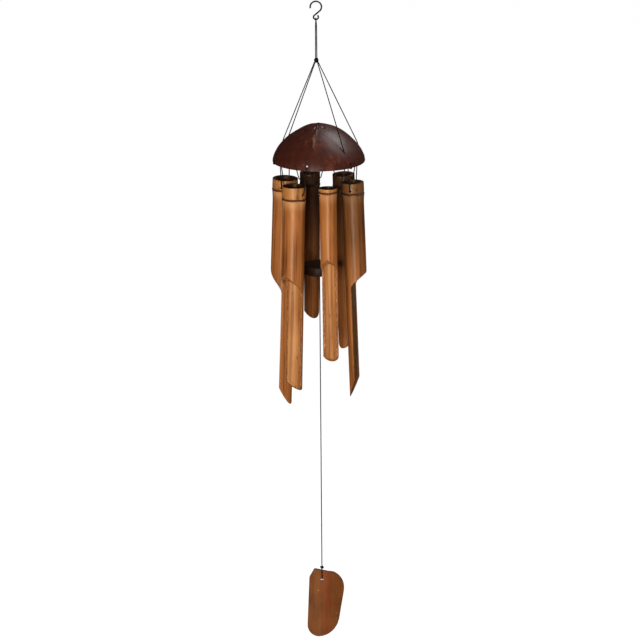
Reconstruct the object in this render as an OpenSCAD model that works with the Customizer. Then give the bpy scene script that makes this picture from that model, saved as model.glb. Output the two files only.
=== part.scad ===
// Hanging wind chime: wire hook, half coconut shell, six scooped bamboo tubes, clapper and sail.
// The origin is where the hook's bend bears on what holds it. Z is up and the front faces -Y.
// Angles round the shell count from the front, positive to the right.

/* [Hook] */
// Diameter of the hook's wire
wire_d = 2; // [1.5:0.1:2.6]
// Inside radius of the hook's bend
bend_r = 6; // [5:0.5:9]
// Inside diameter of the hook's eye
eye_bore = 4; // [3.6:0.2:6]
// Straight length of wire between the bend and the eye
shank = 8.4; // [7:0.2:14]

/* [Cords] */
// Diameter of every cord
cord_d = 1.4; // [0.8:0.1:1.5]
// Running gap between a cord or knot and what it moves against
cord_gap = 0.3; // [0.2:0.05:0.5]
// Depth of the gathering knot below the bearing point
knot_drop = 74; // [60:1:100]
// Radius of the gathering knot
knot_r = 3; // [2.5:0.1:4]
// Radius of the stopper knots inside the shell
stopper_r = 2.2; // [1.8:0.1:3]
// Radius of the knots at the ends of the lacings
lacing_knot_r = 1.6; // [1.2:0.1:1.8]

/* [Shell] */
// Outside diameter of the shell at its rim
shell_d = 115; // [105:1:130]
// Height of the shell above its rim
shell_h = 47.5; // [42:0.5:60]
// Thickness of the shell's wall
shell_wall = 4.5; // [3.5:0.25:5.5]
// Roundness of the shell's profile, where 2 is an ellipse
shell_round = 1.62; // [1.5:0.02:2]
// Depth of the rim below the bearing point
rim_drop = 202; // [190:1:240]
// Offset of the shell's axis to the right of the plumb line through the hook
shell_x = 2.1; // [0:0.1:6]
// Offset of the shell's axis to the back of the plumb line through the hook
shell_y = 0.7; // [-6:0.1:6]
// Diameter of the holes drilled along the rim
rim_hole_d = 3.5; // [3:0.1:4.5]
// Height of the rim holes above the rim
rim_hole_up = 5; // [4.6:0.2:8]
// Distance of the four cord holes from the shell's axis
cord_hole_r = 49; // [44:0.5:50]
// Diameter of the four cord holes
cord_hole_d = 2.6; // [2.2:0.1:3.4]
// Diameter of the hole in the crown
crown_hole_d = 3; // [2.4:0.1:4]
// Diameter of the dimple that the crown's knot sits in
dimple_d = 6; // [5.8:0.1:8]
// Depth of the crown's dimple
dimple = 2; // [1:0.25:2.5]
// Radius of the knot on the crown
crown_knot_r = 2; // [1.9:0.1:2.8]
// Diameter of the three eye marks on the crown
eye_mark_d = 6; // [4:0.5:8]
// Depth of the eye marks
eye_mark_depth = 0.8; // [0.4:0.1:1.5]

/* [Tubes] */
// Distance from the rim down to the top ends of the tubes
tube_drop = 25; // [20:1:40]
// Thickness of the tubes' walls
tube_wall = 3; // [2:0.25:4]
// Distance from a tube's top end down to its cross hole
cross_hole_down = 9; // [8:0.5:10]
// Diameter of the cross holes
cross_hole_d = 3.5; // [2.8:0.1:4.5]
// Thickness of the wall that closes the tube at its joint
joint_wall = 2.5; // [1.5:0.25:4]
// Swelling of the tube at its joint, on the radius
joint_swell = 1.1; // [0.5:0.1:2]
// Height over which the tube swells below its joint
joint_taper = 12; // [8:1:20]
// Height over which the tube draws in above its joint
joint_brow = 2.5; // [1.5:0.25:3.5]
// Distance of the scoop's flat from the tube's axis, towards the open side
scoop_flat = -4; // [-5:0.5:4]
// Diameter of the front left tube
tube_1_d = 28.5; // [20:0.5:31]
// Length of the front left tube
tube_1_len = 262; // [220:1:320]
// Distance from the front left tube's top to its joint
tube_1_joint = 16; // [13.5:0.5:24]
// Distance from the front left tube's top to its scoop
tube_1_scoop = 111; // [80:1:140]
// Height over which the front left tube's scoop runs in to its flat
tube_1_run = 25; // [15:1:35]
// Slant of the front left tube's bottom end
tube_1_slant = 10; // [4:1:30]
// Turn of the front left tube's open side away from straight out
tube_1_turn = 0; // [-40:1:40]
// Outward lean at which the front left tube hangs
tube_1_lean = 1.95; // [0:0.05:4]
// Diameter of the front tube
tube_2_d = 21.5; // [18:0.5:31]
// Length of the front tube
tube_2_len = 223; // [200:1:320]
// Distance from the front tube's top to its joint
tube_2_joint = 5.2; // [4.8:0.2:5.4]
// Distance from the front tube's top to its scoop
tube_2_scoop = 89; // [70:1:130]
// Height over which the front tube's scoop runs in to its flat
tube_2_run = 19; // [15:1:35]
// Slant of the front tube's bottom end
tube_2_slant = 8; // [4:1:30]
// Turn of the front tube's open side away from straight out
tube_2_turn = -26; // [-40:1:40]
// Outward lean at which the front tube hangs
tube_2_lean = 1.7; // [0:0.05:4]
// Diameter of the right tube
tube_3_d = 26.5; // [18:0.5:31]
// Length of the right tube
tube_3_len = 275; // [220:1:320]
// Distance from the right tube's top to its joint
tube_3_joint = 13.5; // [13.5:0.5:24]
// Distance from the right tube's top to its scoop
tube_3_scoop = 112; // [80:1:140]
// Height over which the right tube's scoop runs in to its flat
tube_3_run = 22; // [15:1:35]
// Slant of the right tube's bottom end
tube_3_slant = 23; // [4:1:30]
// Turn of the right tube's open side away from straight out
tube_3_turn = 0; // [-40:1:40]
// Outward lean at which the right tube hangs
tube_3_lean = 1.8; // [0:0.05:4]
// Diameter of the back right tube
tube_4_d = 26; // [18:0.5:31]
// Length of the back right tube
tube_4_len = 223; // [190:1:320]
// Distance from the back right tube's top to its joint
tube_4_joint = 14; // [13.5:0.5:24]
// Distance from the back right tube's top to its scoop
tube_4_scoop = 92; // [70:1:130]
// Height over which the back right tube's scoop runs in to its flat
tube_4_run = 22; // [15:1:35]
// Slant of the back right tube's bottom end
tube_4_slant = 12; // [4:1:30]
// Turn of the back right tube's open side away from straight out
tube_4_turn = 0; // [-40:1:40]
// Outward lean at which the back right tube hangs
tube_4_lean = 2.15; // [0:0.05:4]
// Diameter of the back tube
tube_5_d = 24; // [18:0.5:31]
// Length of the back tube
tube_5_len = 187; // [170:1:320]
// Distance from the back tube's top to its joint
tube_5_joint = 14.5; // [13.5:0.5:24]
// Distance from the back tube's top to its scoop
tube_5_scoop = 77; // [60:1:110]
// Height over which the back tube's scoop runs in to its flat
tube_5_run = 20; // [15:1:35]
// Slant of the back tube's bottom end
tube_5_slant = 10; // [4:1:30]
// Turn of the back tube's open side away from straight out
tube_5_turn = 20; // [-40:1:40]
// Outward lean at which the back tube hangs
tube_5_lean = 2.25; // [0:0.05:4]
// Diameter of the left tube
tube_6_d = 30.5; // [20:0.5:31]
// Length of the left tube
tube_6_len = 289; // [240:1:320]
// Distance from the left tube's top to its joint
tube_6_joint = 13.5; // [13.5:0.5:24]
// Distance from the left tube's top to its scoop
tube_6_scoop = 113; // [80:1:140]
// Height over which the left tube's scoop runs in to its flat
tube_6_run = 32; // [15:1:35]
// Slant of the left tube's bottom end
tube_6_slant = 23; // [4:1:30]
// Turn of the left tube's open side away from straight out
tube_6_turn = -5; // [-40:1:40]
// Outward lean at which the left tube hangs
tube_6_lean = 2; // [0:0.05:4]

/* [Clapper] */
// Diameter of the clapper
clapper_d = 44; // [36:1:46]
// Thickness of the clapper
clapper_t = 12; // [8:1:18]
// Depth of the clapper's top face below the rim
clapper_drop = 132; // [110:1:160]
// Diameter of the clapper's hole
clapper_hole_d = 3.6; // [3.2:0.1:5]
// Width of the bevel round the clapper's edges
clapper_bevel = 2; // [0.5:0.5:3]
// Radius of the knots on the middle cord
line_knot_r = 2.6; // [2.4:0.1:3.2]

/* [Sail] */
// Depth of the sail's top end below the clapper's top face
sail_drop = 393; // [320:1:450]
// Length of the sail
sail_h = 87; // [80:1:110]
// Width of the sail at its shoulders
sail_w = 46; // [42:1:54]
// Thickness of the sail
sail_t = 5; // [3:0.5:8]
// Radius of the two corners at the sail's top
sail_peak_r = 3; // [2:0.5:4]
// Radius of the sail's left shoulder
sail_flank_r = 8; // [6:0.5:9]
// Radius of the sail's right shoulder
sail_shoulder_r = 24; // [21:0.5:25]
// Radius of the sail's rounded foot
sail_foot_r = 27; // [24:0.5:28]
// Radius of the sail's lower left corner
sail_heel_r = 14; // [11:0.5:16]
// Radius of the bamboo that the sail was split from
sail_bow_r = 60; // [45:1:90]
// Distance from the sail's top end down to its hole
sail_hole_down = 14; // [9:0.5:18]
// Diameter of the sail's hole
sail_hole_d = 3.6; // [3:0.1:5]

/* [Hidden] */
$fn = 64;
bamboo = [0.60, 0.38, 0.20];
husk = [0.21, 0.09, 0.05];
cord_grey = [0.16, 0.15, 0.15];
wire_grey = [0.12, 0.12, 0.13];
clapper_brown = [0.15, 0.09, 0.06];
cord_sides = 8;
// Room kept beyond a face by what cuts through it
over = 1;

// Hook: a bend about its centre, a straight shank and an eye curled up from it, all tangent to each other
wire_r = wire_d / 2;
bend_mid_r = bend_r + wire_r;
bend_tip_a = 190;
bend_end_a = -50;
bend_z = -bend_r;
eye_mid_r = (eye_bore + wire_d) / 2;
shank_top = [bend_mid_r * cos(bend_end_a), bend_z + bend_mid_r * sin(bend_end_a)];
shank_dir = [sin(bend_end_a), -cos(bend_end_a)];
eye_in_a = bend_end_a + 180;
eye_x = shank_top[0] + shank * shank_dir[0] - eye_mid_r * cos(eye_in_a);
eye_z = shank_top[1] + shank * shank_dir[1] - eye_mid_r * sin(eye_in_a);
eye_wire_z = eye_z - eye_mid_r;
eye_curl = 270;
wire_sides = 12;
function arc_route(x, z, r, from, to, steps) = [
    for (k = [0:steps])
        let (a = from + (to - from) * k / steps)
            [x + r * cos(a), 0, z + r * sin(a)]
];
hook_route = concat(
    arc_route(0, bend_z, bend_mid_r, bend_tip_a, bend_end_a, 20),
    arc_route(eye_x, eye_z, eye_mid_r, eye_in_a, eye_in_a + eye_curl, 18)
);

// Hanger loop: over the eye's lowest wire and down both sides to the gathering knot
loop_r = wire_r + cord_gap + cord_d / 2;
knot_z = -knot_drop;
knot_top_z = knot_z + knot_r;
loop_foot = 0.8;
loop_spread = 1.2;
loop_half = [
    [loop_foot, 0, knot_top_z],
    [loop_foot, 0, knot_top_z + 2],
    [1, -0.6, -50],
    [loop_spread, -1.4, -34],
    [0.6, -loop_r, eye_wire_z - 4],
    [0, -loop_r, eye_wire_z],
    [0, -loop_r * sin(45), eye_wire_z + loop_r * cos(45)]
];
loop_route = concat(
    [for (p = loop_half) [p[0] + eye_x, p[1], p[2]]],
    [[eye_x, 0, eye_wire_z + loop_r]],
    [for (i = [len(loop_half) - 1:-1:0]) [eye_x - loop_half[i][0], -loop_half[i][1], loop_half[i][2]]]
);

// Shell: its outer and inner faces are one kind of curve, from the rim to the crown
shell_r = shell_d / 2;
rim_z = -rim_drop;
crown_z = rim_z + shell_h;
profile_steps = 20;
function shell_rise(r, rim_r, h) = h * pow(max(0, 1 - pow(r / rim_r, shell_round)), 1 / shell_round);
function outer_z(r) = rim_z + shell_rise(r, shell_r, shell_h);
function inner_z(r) = rim_z + shell_rise(r, shell_r - shell_wall, shell_h - shell_wall);
function shell_profile(rim_r, h) = [
    for (i = [0:profile_steps])
        let (a = 90 * i / profile_steps)
            [rim_r * pow(cos(a), 2 / shell_round), h * pow(sin(a), 2 / shell_round)]
];
eye_marks = [[-17.5, -13.5], [-2.5, -14], [6, -12]];

// Shell cords: their angles at the shell, and the angles at which they leave the knot
shell_cord_a = [40, 95, -128, -114];
knot_fan_a = [40, 110, -150, -80];
knot_fan_down = 45;

// Rim stitches: closed loops through a rim hole and round the lip below it
rim_count = 6;
rim_step = 360 / rim_count;
first_tube_a = -45;
stitch_gap = 0.6;
stitch_in = 0.25;
lip_h = rim_hole_up - rim_hole_d / 2;
stitch_r = norm([shell_wall, lip_h]) / 2 + stitch_gap + cord_d / 2;
stitch_mid_r = shell_r - shell_wall / 2 - stitch_in;
stitch_z = rim_z + lip_h / 2;

// Lacing knots: two beside each stitch, on the lines about which the lacings swing
lacing_seat = lacing_knot_r + cord_gap + cord_d / 2 + 0.05;
lacing_side = lacing_knot_r + cord_gap;
lacing_in = sqrt(lacing_seat * lacing_seat - lacing_side * lacing_side);
lacing_knot_rad = stitch_mid_r - stitch_r - lacing_in;
lacing_half = lacing_knot_rad * sin(rim_step / 2) - lacing_side * cos(rim_step / 2);
ring_r = lacing_knot_rad * cos(rim_step / 2) + lacing_side * sin(rim_step / 2);

// Tubes, in the order front left, front, right, back right, back, left
tube_d = [tube_1_d, tube_2_d, tube_3_d, tube_4_d, tube_5_d, tube_6_d];
tube_len = [tube_1_len, tube_2_len, tube_3_len, tube_4_len, tube_5_len, tube_6_len];
tube_joint = [tube_1_joint, tube_2_joint, tube_3_joint, tube_4_joint, tube_5_joint, tube_6_joint];
tube_scoop = [tube_1_scoop, tube_2_scoop, tube_3_scoop, tube_4_scoop, tube_5_scoop, tube_6_scoop];
tube_run = [tube_1_run, tube_2_run, tube_3_run, tube_4_run, tube_5_run, tube_6_run];
tube_slant = [tube_1_slant, tube_2_slant, tube_3_slant, tube_4_slant, tube_5_slant, tube_6_slant];
tube_turn = [tube_1_turn, tube_2_turn, tube_3_turn, tube_4_turn, tube_5_turn, tube_6_turn];
tube_lean = [tube_1_lean, tube_2_lean, tube_3_lean, tube_4_lean, tube_5_lean, tube_6_lean];
cross_z = rim_z - tube_drop - cross_hole_down;
scoop_steps = 10;

// Middle cord, clapper and sail
clapper_top_z = rim_z - clapper_drop;
clapper_base_z = clapper_top_z - clapper_t;
clapper_seat = 0.6;
clapper_knot_top_z = clapper_base_z - clapper_seat;
knot_flat = 0.7;
clapper_knot_z = clapper_knot_top_z - line_knot_r * knot_flat;
crown_seat_z = crown_z - dimple;
crown_knot_z = crown_seat_z + crown_knot_r * knot_flat + 0.1;
line_top_z = crown_seat_z - cord_gap + 0.1;
sail_line_top_z = clapper_knot_z - line_knot_r - cord_gap;
sail_top_z = clapper_top_z - sail_drop;
sail_hole_z = sail_top_z - sail_hole_down;
sail_knot_up = 1.4;
sail_knot_base_z = sail_top_z + sail_knot_up;
sail_knot_z = sail_knot_base_z + line_knot_r * knot_flat;
sail_knot_top_z = sail_knot_z + line_knot_r * knot_flat;

// Sail outline: round corners about the hole, as centre across, centre down, radius, first and last angle
sail_left = 18.5;
sail_right = sail_w - sail_left;
sail_flank_in = 10.6;
sail_flank_down = 13.7;
sail_peak_in = 10.6;
sail_shoulder_down = 26;
sail_top_a = 78;
sail_crest_a = 62;
sail_crest = sail_shoulder_r - sail_peak_r;
sail_foot_left = 5.5;
sail_corners = [
    [sail_flank_in - sail_left, -sail_flank_down, sail_flank_r, 175, 151],
    [sail_peak_in - sail_left, -sail_peak_r, sail_peak_r, 130, sail_top_a],
    [
        sail_right - sail_shoulder_r + sail_crest * cos(sail_crest_a),
        sail_crest * sin(sail_crest_a) - sail_shoulder_down,
        sail_peak_r, sail_top_a, sail_crest_a + 3
    ],
    [sail_right - sail_shoulder_r, -sail_shoulder_down, sail_shoulder_r, sail_crest_a, -8],
    [-sail_foot_left, sail_foot_r - sail_h, sail_foot_r, -11, -86],
    [sail_heel_r - sail_left, sail_heel_r - sail_h, sail_heel_r, -95, -182]
];
corner_steps = 6;
sail_outline = [
    for (c = sail_corners, i = [0:corner_steps])
        let (a = c[3] + (c[4] - c[3]) * i / corner_steps)
            [c[0] + c[2] * cos(a), c[1] + c[2] * sin(a)]
];
sail_forward = 1.2;
sail_front = -sail_forward - sail_t / 2;
sail_back = -sail_forward + sail_t / 2;

// Sail loop: down the front of the sail, through its hole and up the back
sail_loop_off = cord_d / 2 + 0.4;
sail_loop_half = 0.8;
sail_loop_route = [
    [0, -sail_loop_half, sail_knot_base_z],
    [0, -sail_loop_half, sail_knot_base_z - 0.8],
    [0, sail_front - sail_loop_off, sail_top_z],
    [0, sail_front - sail_loop_off, sail_hole_z + 2],
    [0, sail_front - 0.6, sail_hole_z + 0.4],
    [0, sail_front + 0.8, sail_hole_z],
    [0, sail_back - 0.8, sail_hole_z],
    [0, sail_back + 0.6, sail_hole_z + 0.4],
    [0, sail_back + sail_loop_off, sail_hole_z + 2],
    [0, sail_back + sail_loop_off, sail_top_z],
    [0, sail_loop_half, sail_knot_base_z - 0.8],
    [0, sail_loop_half, sail_knot_base_z]
];
clapper_cord_route = [
    [0, 0, line_top_z],
    [0, 0, -200],
    [0, 0, -250],
    [0, 0, -300],
    [0, 0, clapper_knot_top_z]
];
sail_cord_route = [
    [0, 0, sail_line_top_z],
    [0, 0, -420],
    [0, 0, -500],
    [0, 0, -580],
    [0, 0, -660],
    [0, 0, sail_knot_top_z]
];

// Cords and wire: a tube of flat sides swept along a route, with its rings turned from one side direction
function unit(v) = v / norm(v);
function heading(route, i) =
    let (last = len(route) - 1, here = max(1, min(i, last)), next = max(0, min(i, last - 1)))
        unit(unit(route[here] - route[here - 1]) + unit(route[next + 1] - route[next]));
function sweep_ring(route, i, side, d, sides) =
    let (t = heading(route, i), a = unit(cross(t, side)), b = cross(t, a)) [
        for (k = [0:sides - 1])
            let (turn = 360 * k / sides)
                route[i] + d / 2 * (a * cos(turn) + b * sin(turn))
    ];

module sweep_tube(route, side, d, sides) {
    last = len(route) - 1;
    points = [for (i = [0:last]) each sweep_ring(route, i, side, d, sides)];
    walls = [
        for (i = [0:last - 1], k = [0:sides - 1])
            let (a = i * sides + k, b = i * sides + (k + 1) % sides)
                each [[a, b + sides, b], [a, a + sides, b + sides]]
    ];
    start_cap = [for (k = [0:sides - 1]) k];
    end_cap = [for (k = [sides - 1:-1:0]) last * sides + k];
    polyhedron(points, concat(walls, [start_cap, end_cap]));
}

module cord_tube(route, side) {
    sweep_tube(route, side, cord_d, cord_sides);
}

// A pulled-tight knot whose flat faces up, where its cord comes in
module flat_knot(r) {
    difference() {
        sphere(r);
        translate([-r, -r, r * knot_flat])
            cube(2 * r);
    }
}

module on_shell() {
    translate([shell_x, shell_y, 0])
        children();
}

module round_shell(angle) {
    on_shell()
        rotate(angle)
            children();
}

module at_tube(i) {
    round_shell(first_tube_a + rim_step * i)
        translate([0, -ring_r, 0])
            children();
}

module hanging_hook() {
    color(wire_grey)
        sweep_tube(hook_route, [0, 1, 0], wire_d, wire_sides);
}

module hanger_loop() {
    color(cord_grey)
        cord_tube(loop_route, [1, 0, 0]);
}

module hanger_knot() {
    neck_r = 0.72 * knot_r;
    color(cord_grey)
        translate([eye_x, 0, knot_z]) {
            sphere(knot_r);
            cylinder(r = neck_r, h = knot_r);
            translate([0, 0, 0.45 * knot_r])
                rotate_extrude()
                    translate([neck_r, 0])
                        circle(0.38 * knot_r);
        }
}

// Where the shell's cords pass down through their holes, and the knots that stop them inside
inner_slope = inner_z(cord_hole_r - 0.5) - inner_z(cord_hole_r + 0.5);
stopper_z = inner_z(cord_hole_r) - (stopper_r + cord_gap) * norm([1, inner_slope]);
cord_mouth_up = 1.2;
function cord_hole(i) = [
    shell_x + cord_hole_r * sin(shell_cord_a[i]),
    shell_y - cord_hole_r * cos(shell_cord_a[i])
];
function knot_fan(i) = [
    sin(knot_fan_down) * sin(knot_fan_a[i]),
    -sin(knot_fan_down) * cos(knot_fan_a[i]),
    -cos(knot_fan_down)
];
function shell_cord_route(i) = [
    [eye_x, 0, knot_z] + (knot_r + cord_gap) * knot_fan(i),
    [each cord_hole(i), outer_z(cord_hole_r) + cord_mouth_up],
    [each cord_hole(i), stopper_z + stopper_r * knot_flat]
];

module shell_cord(i) {
    color(cord_grey)
        cord_tube(shell_cord_route(i), [cos(shell_cord_a[i]), sin(shell_cord_a[i]), 0]);
}

module shell_stopper_knots() {
    color(cord_grey)
        for (i = [0:len(shell_cord_a) - 1])
            translate([each cord_hole(i), stopper_z])
                flat_knot(stopper_r);
}

module shell_solid(rim_r, h) {
    rotate_extrude()
        polygon(concat([[0, 0]], shell_profile(rim_r, h)));
}

module coconut_shell() {
    color(husk)
        difference() {
            on_shell()
                translate([0, 0, rim_z])
                    difference() {
                        shell_solid(shell_r, shell_h);
                        translate([0, 0, -over])
                            cylinder(r = shell_r - shell_wall, h = over);
                        shell_solid(shell_r - shell_wall, shell_h - shell_wall);
                    }
            on_shell()
                translate([0, 0, crown_z - shell_wall - over])
                    cylinder(d = crown_hole_d, h = shell_wall + 2 * over);
            on_shell()
                translate([0, 0, crown_seat_z])
                    cylinder(d = dimple_d, h = dimple + over);
            for (i = [0:len(shell_cord_a) - 1])
                translate([each cord_hole(i), rim_z + over])
                    cylinder(d = cord_hole_d, h = shell_h);
            for (i = [0:rim_count - 1])
                round_shell(first_tube_a + rim_step * (i + 0.5))
                    translate([0, -shell_r + 2 * shell_wall, rim_z + rim_hole_up])
                        rotate([90, 0, 0])
                            cylinder(d = rim_hole_d, h = 3 * shell_wall);
            for (p = eye_marks)
                on_shell()
                    translate([p[0], p[1], outer_z(norm(p)) + eye_mark_d / 2 - eye_mark_depth])
                        sphere(d = eye_mark_d);
        }
}

module rim_stitches() {
    color(cord_grey)
        for (i = [0:rim_count - 1])
            round_shell(first_tube_a + rim_step * (i + 0.5))
                translate([0, -stitch_mid_r, stitch_z])
                    rotate([0, 90, 0])
                        rotate_extrude()
                            translate([stitch_r, 0])
                                circle(d = cord_d, $fn = 24);
}

module crown_knot() {
    color(cord_grey)
        on_shell()
            translate([0, 0, crown_knot_z])
                rotate([180, 0, 0])
                    flat_knot(crown_knot_r);
}

// A tube's outside, from its bottom end up: straight, swelling to the ridge at its joint, then its top end
top_share = 0.6;
end_bevel = 0.5;
function tube_top_r(i) = tube_d[i] / 2 + joint_swell * top_share;
function joint_z(i) = cross_hole_down - tube_joint[i];
function tube_profile(i) =
    let (r = tube_d[i] / 2, base = cross_hole_down - tube_len[i]) [
        [0, base],
        [r, base],
        [r, joint_z(i) - joint_taper],
        [r + 0.3 * joint_swell, joint_z(i) - joint_taper / 2],
        [r + 0.7 * joint_swell, joint_z(i) - joint_taper / 6],
        [r + joint_swell, joint_z(i) - joint_taper / 20],
        [r + joint_swell, joint_z(i)],
        [r + 0.5 * joint_swell, joint_z(i) + 0.32 * joint_brow],
        [tube_top_r(i), joint_z(i) + joint_brow],
        [tube_top_r(i), cross_hole_down - end_bevel],
        [tube_top_r(i) - end_bevel, cross_hole_down],
        [0, cross_hole_down]
    ];

// What the scoop takes away, seen from the side with the open side to the left
function scoop_profile(i) =
    let (
        face = -tube_d[i] / 2,
        top = cross_hole_down - tube_scoop[i],
        base = cross_hole_down - tube_len[i],
        far = -face + 2 * joint_swell
    ) concat(
        [[-far, top]],
        [for (k = [0:scoop_steps])
            let (s = k / scoop_steps)
                [face + (-scoop_flat - face) * (1 - cos(180 * s)) / 2, top - tube_run[i] * s]],
        [[-scoop_flat, base + tube_slant[i]], [-face, base], [far, base - over], [-far, base - over]]
    );

module tube(i) {
    r = tube_d[i] / 2;
    base = cross_hole_down - tube_len[i];
    joint_top = joint_z(i) + joint_wall / 2;
    joint_base = joint_z(i) - joint_wall / 2;
    color(bamboo)
        at_tube(i)
            translate([0, 0, cross_z])
                rotate([-tube_lean[i], 0, 0])
                    difference() {
                        rotate_extrude()
                            polygon(tube_profile(i));
                        translate([0, 0, joint_top])
                            cylinder(r = r - tube_wall, h = cross_hole_down - joint_top + over);
                        translate([0, 0, base - over])
                            cylinder(r = r - tube_wall, h = joint_base - base + over);
                        rotate([0, 90, 0])
                            cylinder(d = cross_hole_d, h = 2 * tube_d[i], center = true);
                        rotate(tube_turn[i])
                            rotate([90, 0, 90])
                                linear_extrude(height = 2 * tube_d[i], center = true)
                                    polygon(scoop_profile(i));
                    }
}

// A lacing's right half in its tube's frame, from the flat of its knot to the middle of the cross hole
function lacing_foot(i) = [tube_top_r(i) + 2.2, 0, cross_z + 4];
function lacing_heading(i) = unit(lacing_foot(i) - [lacing_half, 0, stitch_z]);
function lacing_side_route(i) = [
    [lacing_half, 0, stitch_z] + lacing_knot_r * knot_flat * lacing_heading(i),
    lacing_foot(i),
    [tube_top_r(i) + 1.7, 0, cross_z + 1.6],
    [tube_top_r(i), 0, cross_z]
];
function lacing_route(i) =
    let (half = lacing_side_route(i))
        concat(half, [for (k = [len(half) - 1:-1:0]) [-half[k][0], half[k][1], half[k][2]]]);

module tube_lacing(i) {
    color(cord_grey)
        at_tube(i)
            cord_tube(lacing_route(i), [0, 1, 0]);
}

module lacing_knots(i) {
    dir = lacing_heading(i);
    color(cord_grey)
        at_tube(i)
            for (s = [-1, 1])
                translate([s * lacing_half, 0, stitch_z])
                    rotate([0, s * atan2(dir[0], dir[2]), 0])
                        flat_knot(lacing_knot_r);
}

module clapper_cord() {
    color(cord_grey)
        on_shell()
            cord_tube(clapper_cord_route, [1, 0, 0]);
}

module clapper() {
    r = clapper_d / 2;
    color(clapper_brown)
        on_shell()
            translate([0, 0, clapper_base_z])
                difference() {
                    rotate_extrude()
                        polygon([
                            [0, 0],
                            [r - clapper_bevel, 0],
                            [r, clapper_bevel],
                            [r, clapper_t - clapper_bevel],
                            [r - clapper_bevel, clapper_t],
                            [0, clapper_t]
                        ]);
                    translate([0, 0, -over])
                        cylinder(d = clapper_hole_d, h = clapper_t + 2 * over);
                }
}

module clapper_knot() {
    color(cord_grey)
        on_shell()
            translate([0, 0, clapper_knot_z])
                flat_knot(line_knot_r);
}

module sail_cord() {
    color(cord_grey)
        on_shell()
            cord_tube(sail_cord_route, [1, 0, 0]);
}

module sail_knot() {
    color(cord_grey)
        on_shell()
            translate([0, 0, sail_knot_z])
                intersection() {
                    flat_knot(line_knot_r);
                    rotate([180, 0, 0])
                        flat_knot(line_knot_r);
                }
}

module sail_loop() {
    color(cord_grey)
        on_shell()
            cord_tube(sail_loop_route, [1, 0, 0]);
}

module sail() {
    bow_depth = 6 * sail_t;
    color(bamboo)
        on_shell()
            translate([0, 0, sail_top_z])
                difference() {
                    intersection() {
                        rotate([90, 0, 0])
                            linear_extrude(height = bow_depth, center = true)
                                polygon(sail_outline);
                        translate([0, sail_bow_r - sail_forward, -sail_h - over])
                            difference() {
                                cylinder(r = sail_bow_r + sail_t / 2, h = sail_h + 2 * over, $fn = 96);
                                translate([0, 0, -over])
                                    cylinder(r = sail_bow_r - sail_t / 2, h = sail_h + 4 * over, $fn = 96);
                            }
                    }
                    translate([0, 0, -sail_hole_down])
                        rotate([90, 0, 0])
                            cylinder(d = sail_hole_d, h = bow_depth, center = true);
                }
}

hanging_hook();
hanger_loop();
hanger_knot();
shell_cord(0);  // shell_cord_1
shell_cord(1);  // shell_cord_2
shell_cord(2);  // shell_cord_3
shell_cord(3);  // shell_cord_4
shell_stopper_knots();
coconut_shell();
rim_stitches();
crown_knot();
tube(0);  // tube_1
tube(1);  // tube_2
tube(2);  // tube_3
tube(3);  // tube_4
tube(4);  // tube_5
tube(5);  // tube_6
tube_lacing(0);  // tube_lacing_1
tube_lacing(1);  // tube_lacing_2
tube_lacing(2);  // tube_lacing_3
tube_lacing(3);  // tube_lacing_4
tube_lacing(4);  // tube_lacing_5
tube_lacing(5);  // tube_lacing_6
lacing_knots(0);  // lacing_knots_1
lacing_knots(1);  // lacing_knots_2
lacing_knots(2);  // lacing_knots_3
lacing_knots(3);  // lacing_knots_4
lacing_knots(4);  // lacing_knots_5
lacing_knots(5);  // lacing_knots_6
clapper_cord();
clapper();
clapper_knot();
sail_cord();
sail_knot();
sail_loop();
sail();
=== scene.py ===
"""Hanging bamboo wind chime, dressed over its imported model.

Each piece stands where its node stands in the model: in metres, Z up, the front towards -Y.
"""
import logging
import math
from dataclasses import dataclass, field
from enum import Enum
from typing import Callable, Iterable, Sequence, Union

import bmesh
import bpy
from mathutils import Matrix, Vector, noise


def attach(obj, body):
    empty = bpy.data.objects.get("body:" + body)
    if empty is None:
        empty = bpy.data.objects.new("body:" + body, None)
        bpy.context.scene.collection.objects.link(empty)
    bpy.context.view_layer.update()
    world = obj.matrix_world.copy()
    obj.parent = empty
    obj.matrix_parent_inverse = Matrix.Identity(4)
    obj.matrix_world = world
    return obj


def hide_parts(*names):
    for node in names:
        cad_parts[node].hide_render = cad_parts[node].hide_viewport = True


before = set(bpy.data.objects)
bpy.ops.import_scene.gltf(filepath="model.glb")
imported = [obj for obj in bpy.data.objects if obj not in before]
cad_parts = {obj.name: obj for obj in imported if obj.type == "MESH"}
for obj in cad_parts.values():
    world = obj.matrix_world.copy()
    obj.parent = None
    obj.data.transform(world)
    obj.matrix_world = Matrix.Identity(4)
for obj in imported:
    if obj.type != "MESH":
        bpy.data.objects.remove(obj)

LOG = logging.getLogger("wind_chime")
MM = 0.001
SHELL_AXIS = Vector((2.1, 0.7, 0)) * MM
EYE_X = -0.0069 * MM
CORD_D = 1.4 * MM
PLIES = 3
LAY = 3 * MM
PLY_STEPS = 9
PLY_R = CORD_D * 0.27
PLY_OUT = 0.23
KNOT_Z = -74 * MM
RIM_Z = -202 * MM
STITCH_Z = -200.375 * MM
RING_R = 43.452 * MM
CROSS_Z = -236 * MM
CLAPPER_Z = -346 * MM
CORD_HOLE_R = 49 * MM
CORD_ANGLES = (40, 95, -128, -114)
FIRST_TUBE = -45
TUBE_STEP = 60

BMesh, Mesh, Material, Object = bmesh.types.BMesh, bpy.types.Mesh, bpy.types.Material, bpy.types.Object
Rgba = tuple[float, float, float, float]
Value = Union["Sock", float, tuple]


class FarEnd(Enum):
    """What the far end of a cord is."""

    KNOT = "knot"
    OBJECT = "object"


class Layer(Enum):
    """The material slots of a piece: its outside, its inside or edge, and its sawn cuts."""

    SKIN = 0
    INSIDE = 1
    CUT = 2


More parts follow.
